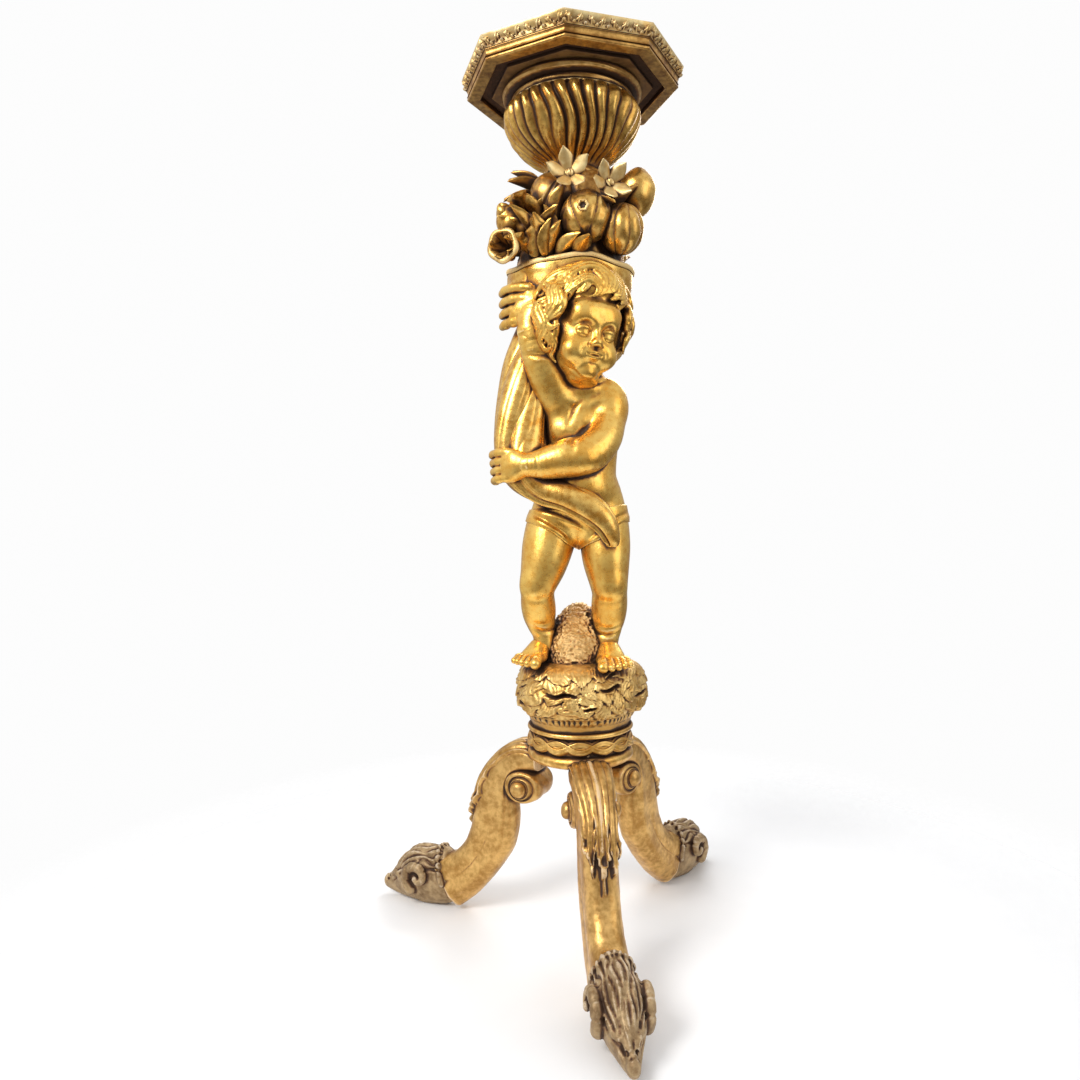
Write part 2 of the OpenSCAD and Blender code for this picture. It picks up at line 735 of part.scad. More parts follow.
// Down the horn: across, depth, share of the way up from the hips to the rim, half width and half depth
lip = lip_t / (rim_h - hip_h);
HORN = [
  [-5, 5, 1, mouth_r - 2, mouth_depth_r - 2], [-5.4, 5, 1 - lip * 0.4, mouth_r + 2, mouth_depth_r + 2],
  [-6, 5, 1 - lip, mouth_r - 1, mouth_depth_r - 1], [-13, 4, 0.85, mouth_r - 5, mouth_depth_r - 4],
  [-30, 0, 0.724, mouth_r - 29, mouth_depth_r - 17],
  [-48, -5, 0.646, horn_r + 9, horn_r + 7], [-61, -12, 0.565, horn_r + 3, horn_r + 4],
  [-72, -23, 0.42, horn_r + 1, horn_r + 1], [-75, -33, 0.27, horn_r, horn_r - 1],
  [-68, -42, 0.165, horn_r - 4, horn_r - 4],
  [-48, -52, 0.093, tail_r + 3, tail_r + 2], [-14, -60, 0.06, tail_r + 1, tail_r],
  [16, -64, 0.012, tail_r + 1, tail_r - 2], [36, -65, -0.048, tail_r - 2, tail_r - 4],
  [45, -63, -0.111, tail_r - 7, tail_r - 8], [45, -60, -0.153, tail_r - 15, tail_r - 15]];

module horn_form() {
  skin(rings(
    [for (h = HORN) knot(h[0], h[1], part_way(hip_h, rim_h, h[2]), h[3], h[4])],
    horn_grooves * 2, [0, 1, 0], horn_grooves, 0.035));
}

module horn() {
  color(rich) carved() difference() {
    horn_form();
    mouth_hollow_form();
    trunk_form();
  }
}

// The hollow in the horn's mouth: a bowl with upright walls above it
module mouth_hollow_form() {
  translate([-5, 5, rim_z + 2]) scale([mouth_r - lip_t, mouth_depth_r - lip_t, mouth_hollow]) {
    sphere(1, $fn = 12);
    cylinder(r = 1, h = 1, $fn = 12);
  }
}

// ---------- Fruit and flowers ----------

// Place in the cluster: across, depth and height above the horn's rim
function over_rim(x, y, h) = [x, y, rim_z + h];

module core_form() {
  limb([
    [-5, 5, rim_z - mouth_hollow, 50, 38, 0], [-5, 4, rim_z - 6, mouth_r - lip_t - 1, mouth_depth_r - lip_t - 1, 0],
    [-3, 2, rim_z + cluster_h * 0.25, 70, 54, 0], [0, 0, rim_z + cluster_h * 0.6, 68, 52, 0],
    [4, 0, rim_z + cluster_h * 0.78, 66, 52, 0], [1, 0, rim_z + cluster_h * 0.92, bulb_foot_r + 12, bulb_foot_r + 8, 0],
    [0, 0, bulb_z, bulb_foot_r + 2, bulb_foot_r + 2, 0]], 12);
}

module cluster_core() {
  color(dark) carved() difference() {
    intersection() {
      core_form();
      union() {
        mouth_hollow_form();
        translate([0, 0, rim_z + 1.5]) cylinder(r = 3 * mouth_r, h = cluster_h, $fn = 12);
      }
    }
    centre_dowel(bulb_dowel_z[0], bulb_dowel_z[1], fit_gap);
  }
}

// Fruit, each cut by those before it: place and three half sizes
FRUIT = [
  [17, -56, 54, pomegranate_r, pomegranate_r, pomegranate_r],
  [64, -44, 40, melon_r - 2, melon_r, melon_r + 2],
  [87, -14, 101, pear_r - 1, pear_r, pear_r + 9],
  [-30, -40, 92, apple_r, apple_r, apple_r],
  [-42, 50, 46, peach_r, peach_r, peach_r],
  [36, 50, 52, quince_r, quince_r, quince_r + 2]];

module fruit_form(i) {
  f = FRUIT[i];
  egg(over_rim(f[0], f[1], f[2]), [f[3], f[4], f[5]]);
}

// What a piece of the cluster is cut by: the horn, the core, the bulb and earlier fruit
module cluster_room(fruit_before) {
  horn_form();
  core_form();
  bulb_room();
  if (fruit_before > 0) for (j = [0:fruit_before - 1]) fruit_form(j);
}

module pomegranate() {
  color(rich) carved() difference() {
    union() {
      fruit_form(0);
      // the crown at the blossom end
      translate(over_rim(14, -86, 56)) rotate([96, 0, 0]) difference() {
        cylinder(r1 = 8, r2 = 6, h = 7, $fn = 12);
        translate([0, 0, 4]) cylinder(r = 3, h = 7, $fn = 8);
      }
    }
    cluster_room(0);
  }
}

module melon() {
  f = FRUIT[1];
  color(rich) carved() difference() {
    skin([for (t = [8:27.3:172])
      [for (s = [0:15]) let (a = -360 * s / 16, swell = sin(t) * (1 + 0.05 * cos(8 * a)))
        over_rim(f[0] + f[3] * swell * cos(a), f[1] + f[4] * swell * sin(a), f[2] + f[5] * cos(t))]]);
    cluster_room(1);
  }
}

module fruit(i) {
  carved() difference() {
    fruit_form(i);
    cluster_room(i);
  }
}

module pear() color(rich) fruit(2);
module apple() color(rich) fruit(3);
module peach() color(rich) fruit(4);
module quince() color(rich) fruit(5);

// A pointed blade that lies along +X, hollowed above and drooping to its tip
module blade(l, w, t, droop = 0.15, steps = 3) {
  skin([for (i = [0:steps])
    let (
      u = i / steps,
      half = max(w / 2 * pow(sin(180 * (0.12 + 0.86 * u)), 0.8), 0.6),
      z = -droop * l * u * u)
    [[l * u, -half, z + half * 0.25], [l * u, 0, z - t * 0.6], [l * u, half, z + half * 0.25],
      [l * u, 0, z + t * 0.35]]]);
}

module placed(p, turn, lift, roll = 0) {
  translate(p) rotate([0, 0, turn]) rotate([0, -lift, 0]) rotate([roll, 0, 0]) children();
}

// Star flower that looks along +X
module star_flower(petals = 5) {
  for (i = [0:petals - 1])
    rotate([360 * i / petals, 0, 0]) rotate([0, -68, 0]) blade(flower_r, flower_r * 0.62, leaf_t * 0.8, 0.1, 2);
  egg([2, 0, 0], [5, 6, 6], 5);
}

module cluster_piece() {
  carved() difference() {
    children();
    cluster_room(len(FRUIT));
  }
}

module front_star_flower() {
  color(pale) cluster_piece() placed(over_rim(-4, -72, 106), -92, 8) {
    star_flower();
    stalk();
  }
}

module side_star_flower() {
  color(pale) cluster_piece() placed(over_rim(47, -66, 92), -68, 4, 30) {
    star_flower();
    stalk();
  }
}

// Short stalk that ties a flower to the core behind it
module stalk() {
  rotate([0, -90, 0]) cylinder(r1 = 5, r2 = 8, h = 40, $fn = 5);
}

module trumpet_flower() {
  color(rich) cluster_piece() placed(over_rim(-92, -50, 18), -118, -4) {
    difference() {
      union() {
        egg([-4, 0, 4], [20, 20, 20], 8);
        for (i = [0:3]) rotate([90 * i + 20, 0, 0]) rotate([0, -52, 0]) blade(34, 26, leaf_t, 0.1, 2);
      }
      egg([16, 0, -1], [12, 8, 8], 6);
    }
    stalk();
  }
}

module rose_bud() {
  color(rich) cluster_piece() placed(over_rim(-86, -36, 60), -130, 10) {
    egg([0, 0, 0], [19, 17, 18], 8);
    egg([8, -5, 2], [13, 12, 15], 7);
    stalk();
  }
}

module front_leaves() {
  color(rich) cluster_piece() {
    placed(over_rim(-34, -50, 4), -60, 58) blade(leaf_l, leaf_w, leaf_t);
    placed(over_rim(-48, -48, 4), -95, 66, 20) blade(leaf_l, leaf_w, leaf_t);
    placed(over_rim(-22, -50, 2), -40, 40, -20) blade(leaf_l * 0.8, leaf_w, leaf_t);
    placed(over_rim(-44, -44, 62), -150, 20) blade(leaf_l * 0.8, leaf_w, leaf_t);
    placed(over_rim(-10, -44, 78), -170, -6) blade(leaf_l, leaf_w * 0.8, leaf_t);
  }
}

module side_leaves() {
  color(dark) cluster_piece() {
    placed(over_rim(-50, -20, 88), -168, 4) blade(leaf_l * 0.9, leaf_w, leaf_t);
    placed(over_rim(-50, -18, 96), -160, 26) blade(leaf_l * 0.85, leaf_w, leaf_t);
    placed(over_rim(-46, -16, 100), -165, 46) blade(leaf_l, leaf_w, leaf_t);
    placed(over_rim(-52, 14, 84), 165, 20) blade(leaf_l * 0.9, leaf_w, leaf_t);
    placed(over_rim(56, 16, 90), 30, 24) blade(leaf_l * 0.9, leaf_w, leaf_t);
    placed(over_rim(60, 14, 30), 20, 10) blade(leaf_l * 0.8, leaf_w, leaf_t);
  }
}

module back_leaves() {
  color(dark) cluster_piece() {
    for (i = [0:4])
      placed(over_rim(-50 + 25 * i, 34, 78 + 8 * (i % 2)), 140 - 25 * i, 28) blade(leaf_l, leaf_w, leaf_t);
    for (i = [0:3])
      placed(over_rim(-52 + 34 * i, 36, 8), 130 - 26 * i, 24) blade(leaf_l * 0.8, leaf_w, leaf_t);
  }
}

// ---------- Bulb ----------

// Share of the height and of the swell, from the foot up
BULB = [[0, 0], [7, 7], [20, 40], [40, 72], [64, 94], [84, 100], [100, 84]];

function bulb_radius(k) = bulb_foot_r + (bulb_r - bulb_foot_r) * k[1] / 100;

// Flutes fade out at the foot
module bulb_form() {
  skin([for (k = BULB)
    [for (s = [0:flute_count * 2 - 1])
      let (
        a = 360 * s / (flute_count * 2),
        cut = flute_depth * (k[1] < 5 ? 0.2 : 1) * (1 - abs(sin(flute_count * a / 2))),
        d = bulb_radius(k) - cut)
      [d * cos(a), d * sin(a), bulb_z + bulb_h * k[0] / 100]]]);
}

// The bulb without its flutes, which is the room it takes
module bulb_room() {
  translate([0, 0, bulb_z]) rotate_extrude($fn = 48) polygon(concat(
    [[0, 0]], [for (k = BULB) [bulb_radius(k) + fit_gap, bulb_h * k[0] / 100]], [[0, bulb_h]]));
}

module bulb() {
  color(brown) difference() {
    bulb_form();
    centre_dowel(bulb_dowel_z[0], bulb_dowel_z[1], fit_gap);
    centre_dowel(top_dowel_z[0], top_dowel_z[1], fit_gap);
  }
}

module bulb_dowel() {
  color(bare_wood) centre_dowel(bulb_dowel_z[0], bulb_dowel_z[1]);
}

module top_dowel() {
  color(bare_wood) centre_dowel(top_dowel_z[0], top_dowel_z[1]);
}

// ---------- Top ----------

module collar() {
  bead = collar_h / 2;
  color(brown) difference() {
    translate([0, 0, collar_z]) rotate_extrude($fn = 64) {
      square([collar_r - bead, collar_h]);
      translate([collar_r - bead - 8, bead / 2]) circle(d = bead, $fn = 32);
      translate([collar_r - bead / 2, bead * 1.5]) circle(d = bead, $fn = 32);
      translate([0, bead]) square([collar_r - bead / 2, bead]);
      square([collar_r - bead - 8, bead]);
    }
    centre_dowel(top_dowel_z[0], top_dowel_z[1], fit_gap);
  }
}

// Distance from the axis to a side of an octagon, from its distance across corners
function apothem(d) = d / 2 * cos(22.5);
moulding_out = apothem(top_d);
rail_out = moulding_out - 7;

// Octagonal plate by the distance from the axis to a side
module octagon(out, z, t) {
  rotate([0, 0, -90 - top_turn]) translate([0, 0, z]) cylinder(r = out / cos(22.5), h = t, $fn = 8);
}

// One mitred length on side i of the octagon; the child is its section, out along +X
module mitred(i) {
  reach = top_r * 1.1;
  half = (reach - fit_gap) * tan(22.5);
  rotate([0, 0, -90 - top_turn + 45 * i - 22.5]) intersection() {
    rotate([90, 0, 0]) translate([0, 0, -reach]) linear_extrude(2 * reach) children();
    translate([0, 0, rail_z - 10]) linear_extrude(board_z - rail_z + moulding_h + 20)
      polygon([[fit_gap, 0], [reach, -half], [reach, half]]);
  }
}

module pad() {
  color(brown) difference() {
    octagon(apothem(pad_d), pad_z, pad_t);
    centre_dowel(top_dowel_z[0], top_dowel_z[1], fit_gap);
  }
}

module soffit_board() {
  color(dark) difference() {
    octagon(rail_out - rail_w - fit_gap, soffit_z, soffit_t);
    centre_dowel(top_dowel_z[0], top_dowel_z[1], fit_gap);
  }
}

// Rails with a hollow face over a bead
module rails() {
  color(brown) for (i = [1:8]) mitred(i) difference() {
    translate([rail_out - rail_w, rail_z]) square([rail_w, rail_h]);
    translate([rail_out + rail_h * 0.35, rail_z + rail_h * 0.62]) circle(r = rail_h * 0.5, $fn = 32);
  }
}

module top_board() {
  color(rich) difference() {
    octagon(moulding_out - moulding_w - fit_gap, board_z, board_t);
    centre_dowel(top_dowel_z[0], top_dowel_z[1], fit_gap);
  }
}

// Moulding with a row of leaves, whose rounded tips hang over its foot
module moulding(i) {
  side_l = 2 * moulding_out * tan(22.5);
  pitch = side_l / (moulding_leaves + 1);
  color(pale) intersection() {
    mitred(i) translate([moulding_out - moulding_w, board_z]) square([moulding_w, moulding_h]);
    rotate([0, 0, -90 - top_turn + 45 * i - 22.5]) union() {
      translate([0, -side_l, board_z + moulding_h * 0.45]) cube([moulding_out - moulding_w * 0.3, side_l * 2, moulding_h]);
      translate([0, -side_l, board_z]) cube([moulding_out - moulding_w * 0.5, side_l * 2, moulding_h]);
      for (j = [-(moulding_leaves + 1) / 2:(moulding_leaves + 1) / 2])
        translate([0, j * pitch, board_z + pitch * 0.42]) rotate([0, 90, 0])
          cylinder(r = pitch * 0.42, h = moulding_out + 1, $fn = 24);
    }
  }
}

// ---------- All the pieces ----------

for (i = [0:2]) {
  leg(i);
  knee_leaf(i);
  foot(i);
  leg_dowel(i);
}
drum();
braid_band();
base_dowel();
rock();
stump();
putto_right_leg();
putto_left_leg();
putto_torso();
putto_head();
putto_right_arm();
putto_left_arm();
loin_cloth();
horn();
cluster_core();
pomegranate();
melon();
pear();
apple();
peach();
quince();
front_star_flower();
side_star_flower();
trumpet_flower();
rose_bud();
front_leaves();
side_leaves();
back_leaves();
bulb();
bulb_dowel();
collar();
pad();
soffit_board();
rails();
top_board();
top_dowel();
for (i = [1:8])
  moulding(i);
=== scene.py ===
"""Looks of a carved and gilded torchere: a putto with a cornucopia under an octagonal candle top.

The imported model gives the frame. Every carved piece is cut here from a block on a fine grid, swept along
its own line, or laid out by a node tree, stands where its CAD node stands, and is then gilded.
Lengths are millimetres until a piece becomes a mesh, which is in metres.
"""

from __future__ import annotations

import copy
import logging
import math
from dataclasses import dataclass, field
from enum import Enum
from typing import Any, Callable, Sequence

import bpy
import numpy as np
import openvdb
from mathutils import Matrix, Vector


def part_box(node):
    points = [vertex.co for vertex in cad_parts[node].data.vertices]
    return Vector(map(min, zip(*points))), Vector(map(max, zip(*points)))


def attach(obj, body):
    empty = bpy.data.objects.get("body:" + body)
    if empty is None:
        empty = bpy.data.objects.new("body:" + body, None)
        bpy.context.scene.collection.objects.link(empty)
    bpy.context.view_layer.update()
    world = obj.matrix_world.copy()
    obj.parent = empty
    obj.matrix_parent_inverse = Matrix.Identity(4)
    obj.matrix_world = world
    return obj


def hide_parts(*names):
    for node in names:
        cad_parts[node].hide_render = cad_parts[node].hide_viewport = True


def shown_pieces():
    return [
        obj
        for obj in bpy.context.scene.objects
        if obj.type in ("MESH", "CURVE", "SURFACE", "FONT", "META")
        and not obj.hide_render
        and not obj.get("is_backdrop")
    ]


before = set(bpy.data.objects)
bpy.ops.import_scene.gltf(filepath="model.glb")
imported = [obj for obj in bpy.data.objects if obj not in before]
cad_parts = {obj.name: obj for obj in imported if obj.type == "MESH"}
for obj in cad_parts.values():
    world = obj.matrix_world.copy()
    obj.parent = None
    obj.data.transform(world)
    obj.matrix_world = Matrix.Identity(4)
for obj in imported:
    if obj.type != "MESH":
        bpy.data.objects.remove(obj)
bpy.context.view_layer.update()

LOG = logging.getLogger("torchere")
MM = 0.001
FAR = 1000.0
WHOLE = (slice(None),) * 3
Knots = Sequence[Sequence[float]]
Colour = tuple[float, float, float]
Relief = Callable[[np.ndarray, np.ndarray], np.ndarray]


# ---------- Numbers ----------


def smoothed(knots: Knots, steps: int) -> np.ndarray:
    """Run a smooth curve through knots.

    Args:
        knots: Rows of numbers, the first three a place.
        steps: Rows made from each knot to the next.

    Returns:
        The rows of the curve, the last knot included.
    """
    k = np.asarray(knots, float)
    last = len(k) - 1
    t = (np.arange(steps) / steps)[:, None]
    rows = []
    for i in range(last):
        a, b, c, d = k[max(i - 1, 0)], k[i], k[i + 1], k[min(i + 2, last)]
        rows.append(b + 0.5 * t * ((c - a) + t * ((2 * a - 5 * b + 4 * c - d) + t * (3 * (b - c) + d - a))))
    return np.vstack(rows + [k[-1:]])


def around(count: int) -> np.ndarray:
    """Angles of points spaced evenly round a circle."""
    return np.linspace(0, 2 * math.pi, count, endpoint=False)


def wrapped(angle: np.ndarray) -> np.ndarray:
    """The same angle, from minus half a turn to half a turn."""
    return (angle + math.pi) % (2 * math.pi) - math.pi


def hump(x: np.ndarray, width: float, power: int = 2) -> np.ndarray:
    """Rounded hump, one high at zero."""
    return np.exp(-((x / width) ** power))


def ease(x: np.ndarray, low: float, high: float) -> np.ndarray:
    """Smooth step from 0 at low to 1 at high."""
    t = np.clip((x - low) / (high - low), 0, 1)
    return t * t * (3 - 2 * t)


def unit(v: np.ndarray) -> np.ndarray:
    """Scale vectors along the last axis to length one."""
    return v / np.maximum(np.linalg.norm(v, axis=-1, keepdims=True), 1e-9)


def spread(*parts: np.ndarray) -> np.ndarray:
    """Stack coordinates as points, each first spread to the shape of them all."""
    return np.stack(np.broadcast_arrays(*parts), -1)


def turned(x: float = 0, y: float = 0, z: float = 0) -> np.ndarray:
    """Rotation about X, then Y, then Z, in degrees."""
    basis = np.eye(3)
    for axis, angle in ((2, z), (1, y), (0, x)):
        c, s = math.cos(math.radians(angle)), math.sin(math.radians(angle))
        one, i, j = np.eye(3), (axis + 1) % 3, (axis + 2) % 3
        one[[i, i, j, j], [i, j, i, j]] = c, -s, s, c
        basis = basis @ one
    return basis


def hashed(cell: np.ndarray, seed: int) -> np.ndarray:
    """Repeatable random number from 0 to 1 for each whole-numbered cell."""
    c = cell.astype(np.int64)
    h = c[..., 0] * 73856093 ^ c[..., 1] * 19349663 ^ c[..., 2] * 83492791 ^ (seed * 2654435761 + 12345)
    h = (h ^ (h >> 13)) * 1274126177 & 0x7FFFFFFF
    return ((h ^ (h >> 16)) & 0xFFFFF) / float(0xFFFFF)


def corners(f: np.ndarray) -> list[tuple[np.ndarray, np.ndarray]]:
    """The eight corners of a cell, each with its weight at places f within the cell."""
    return [(np.array(c), np.prod(np.where(np.array(c) == 1, f, 1 - f), axis=-1))
            for c in np.ndindex(2, 2, 2)]


def mottle(points: np.ndarray, size: float, seed: int = 1) -> np.ndarray:
    """Soft random swell from -1 to 1, with lumps of one size.

    Args:
        points: Places, in millimetres.
        size: Distance between lumps.
        seed: Which random pattern.

    Returns:
        One number for each place.
    """
    p = points / size
    base = np.floor(p)
    f = p - base
    f = f * f * (3 - 2 * f)
    return sum(weight * hashed(base + corner, seed) for corner, weight in corners(f)) * 2 - 1


# ---------- Shells: points and faces ----------


@dataclass
class Shell:
    """A closed surface: points in millimetres, and faces of three or four corners.

    Attributes:
        points: Places of the corners.
        quads: Faces of four corners, by number.
        tris: Faces of three corners.
    """

    points: np.ndarray
    quads: np.ndarray = field(default_factory=lambda: np.zeros((0, 4), int))
    tris: np.ndarray = field(default_factory=lambda: np.zeros((0, 3), int))

    def triangles(self) -> np.ndarray:
        """All faces as triangles."""
        return np.vstack([self.quads[:, [0, 1, 2]], self.quads[:, [0, 2, 3]], self.tris]).astype(int)

    def moved(self, basis: np.ndarray | None = None, place: Sequence[float] = (0, 0, 0)) -> Shell:
        """A copy turned by a rotation, if one is given, with its origin moved to a place."""
        p = self.points if basis is None else self.points @ np.asarray(basis).T
        return Shell(p + np.asarray(place, float), self.quads, self.tris)

    def with_(self, *others: Shell) -> Shell:
        """One shell that holds this and the others."""
        shells = [self, *others]
        starts = np.cumsum([0] + [len(s.points) for s in shells[:-1]])
        return Shell(
            np.vstack([s.points for s in shells]),
            np.vstack([s.quads + n for s, n in zip(shells, starts)]),
            np.vstack([s.tris + n for s, n in zip(shells, starts)]))

    def outward(self) -> Shell:
        """The same shell with its faces pointing out, found from the sign of its volume."""
        t = self.points[self.triangles()]
        if np.einsum("ij,ij->i", t[:, 0], np.cross(t[:, 1], t[:, 2])).sum() < 0:
            return Shell(self.points, self.quads[:, ::-1], self.tris[:, ::-1])
        return self

    def normals(self) -> np.ndarray:
        """Outward direction at each point."""
        tri = self.triangles()
        t = self.points[tri]
        across = np.cross(t[:, 1] - t[:, 0], t[:, 2] - t[:, 0])
        total = np.zeros_like(self.points)
        for corner in range(3):
            for axis in range(3):
                total[:, axis] += np.bincount(tri[:, corner], across[:, axis], len(self.points))
        return unit(total)

    def roughened(self, *lumps: tuple[float, int, float]) -> Shell:
        """A copy whose skin swells at random, by the size, the seed and the height of lumps."""
        rise = sum(mottle(self.points, size, seed) * high for size, seed, high in lumps)
        return Shell(self.points + self.normals() * rise[:, None], self.quads, self.tris)

    def relaxed(self, rounds: int, pull: float = 0.5, push: float = 0.0) -> np.ndarray:
        """Points drawn towards their neighbours.

        Args:
            rounds: How many times.
            pull: Share of the way towards the neighbours' mean.
            push: Share of the way back after each pull, which keeps the volume.

        Returns:
            The new points.
        """
        tri = self.triangles()
        one, other = np.vstack([tri[:, [0, 1]], tri[:, [1, 2]], tri[:, [2, 0]]]).T
        p, n = self.points.copy(), len(self.points)
        count = np.maximum(np.bincount(one, minlength=n) + np.bincount(other, minlength=n), 1)[:, None]
        for share in ((pull, -push) if push else (pull,)) * rounds:
            mean = np.stack([np.bincount(one, p[other, axis], n) + np.bincount(other, p[one, axis], n)
                             for axis in range(3)], -1)
            p += share * (mean / count - p)
        return p


def skin(rings: np.ndarray) -> Shell:
    """Closed skin over rings of equal length, with its ends fanned from their middles."""
    m, n = rings.shape[:2]
    index = np.arange(m * n).reshape(m, n)
    after = np.roll(index, -1, axis=1)
    quads = np.stack([index[:-1], after[:-1], after[1:], index[1:]], axis=-1).reshape(-1, 4)
    ends = np.array([rings[0].mean(0), rings[-1].mean(0)])
    first = np.stack([np.full(n, m * n), after[0], index[0]], axis=-1)
    final = np.stack([np.full(n, m * n + 1), index[-1], after[-1]], axis=-1)
    return Shell(np.vstack([rings.reshape(-1, 3), ends]), quads, np.vstack([first, final])).outward()


def rings_along(knots: np.ndarray, sides: int, relief: Relief) -> np.ndarray:
    """Rings round an upright path whose depth is along Y.

    Args:
        knots: Rows of x, y, z, half width and half depth.
        sides: Points round each ring.
        relief: Height of carving by share of the path and by angle.

    Returns:
        Rings of points, one for each knot.
    """
    centre, half = knots[:, :3], knots[:, 3:5]
    way = unit(np.gradient(centre, axis=0))
    across = unit(np.cross((0.0, 1.0, 0.0), way))
    deep = np.cross(way, across)
    a = around(sides)
    out = (across[:, None] * (half[:, :1] * np.cos(a))[..., None]
           + deep[:, None] * (half[:, 1:] * np.sin(a))[..., None])
    share = np.linspace(0, 1, len(knots))[:, None]
    return centre[:, None] + out + unit(out) * relief(share, a[None, :])[..., None]


# ---------- Blocks of wood on a grid ----------


@dataclass(frozen=True)
class Lump:
    """A simple form that a block is built from or cut by: its reach, and its distance.

    Attributes:
        low: Lowest corner of its reach.
        high: Highest corner of its reach.
        distance: Distance from its surface at given places.
    """

    low: np.ndarray
    high: np.ndarray
    distance: Callable[[np.ndarray, np.ndarray, np.ndarray], np.ndarray]


def egg(centre: Sequence[float], radii: Sequence[float]) -> list[Lump]:
    """An egg of three half sizes.

    Args:
        centre: Its middle.
        radii: Its three half sizes.

    Returns:
        The egg, as the one lump of a list.
    """
    c = np.asarray(centre, np.float32)
    r = np.asarray(radii, np.float32)

    def distance(x: np.ndarray, y: np.ndarray, z: np.ndarray) -> np.ndarray:
        """Distance from the egg's surface."""
        first = second = 0
        for i, at in enumerate((x, y, z)):
            q = (at - c[i]) / r[i]
            first = first + q * q
            second = second + (q / r[i]) ** 2
        first = np.sqrt(first)
        return first * (first - 1) / np.maximum(np.sqrt(second), 1e-6)

    return [Lump(c - r, c + r, distance)]


def stretch(a: np.ndarray, b: np.ndarray, face: np.ndarray, strands: int = 0) -> Lump:
    """One straight stretch of a limb or of a lock of hair.

    Args:
        a: Its first knot: place, half width and half depth.
        b: Its last knot.
        face: The way depth points.
        strands: How many strands it is furrowed into, or none.

    Returns:
        The stretch.
    """
    axis = (b - a)[:3]
    length = float(np.linalg.norm(axis)) + 1e-6
    way = axis / length
    across = unit(np.cross(face, way))
    deep = np.cross(way, across)
    way, across, deep = (v.astype(np.float32) for v in (way, across, deep))
    start = a.astype(np.float32)

    def distance(x: np.ndarray, y: np.ndarray, z: np.ndarray) -> np.ndarray:
        """Distance from the stretch's surface, with its furrows."""
        away = x - start[0], y - start[1], z - start[2]
        along, u, v = (sum(w * d for w, d in zip(line, away)) for line in (way, across, deep))
        t = np.clip(along / length, 0, 1)
        ru, rv = (a[i] + (b[i] - a[i]) * t for i in (3, 4))
        past = along - t * length
        rl = np.minimum(ru, rv)
        first = np.sqrt((u / ru) ** 2 + (v / rv) ** 2 + (past / rl) ** 2)
        second = np.sqrt((u / ru**2) ** 2 + (v / rv**2) ** 2 + (past / rl**2) ** 2)
        plain = first * (first - 1) / np.maximum(second, 1e-6)
        if not strands:
            return plain
        return plain + 0.3 * np.minimum(ru, 9) * (1 - np.abs(np.cos(strands * math.pi / 2 * u / ru)) ** 0.7)

    reach = max(a[3], a[4], b[3], b[4])
    return Lump(np.minimum(a, b)[:3] - reach, np.maximum(a, b)[:3] + reach, distance)


def limb(knots: Knots, face: Sequence[float] = (0, 1, 0), steps: int = 5) -> list[Lump]:
    """A limb along knots of x, y, z, half width and half depth.

    Args:
        knots: The knots; a row of four numbers has equal width and depth.
        face: The way depth points.
        steps: Straight stretches from each knot to the next.

    Returns:
        The limb's stretches.
    """
    run = smoothed([(*k, k[3]) if len(k) == 4 else k for k in knots], steps)
    return [stretch(a, b, np.asarray(face, float)) for a, b in zip(run, run[1:])]


def lock(path: Knots, middle: Sequence[float], strands: int = 3) -> list[Lump]:
    """A lock of hair, furrowed into strands, that tapers to a point.

    Args:
        path: Rows of x, y, z and half width.
        middle: Middle of the head, which the lock lies round.
        strands: How many strands; an odd number.

    Returns:
        The lock's stretches.
    """
    run = smoothed(path, 4)
    out = unit(run[:, :3] - np.asarray(middle, float))
    rows = np.column_stack([run, np.maximum(run[:, 3] * 0.5, 1.1)])
    return [stretch(a, b, face, strands) for a, b, face in zip(rows, rows[1:], out)]


def joined(a: np.ndarray, b: np.ndarray, blend: float | np.ndarray) -> np.ndarray:
    """Distance from two forms together, with the join rounded by blend."""
    soft = np.maximum(blend - np.abs(a - b), 0)
    return np.minimum(a, b) - soft * soft / (4 * np.maximum(blend, 1e-3))


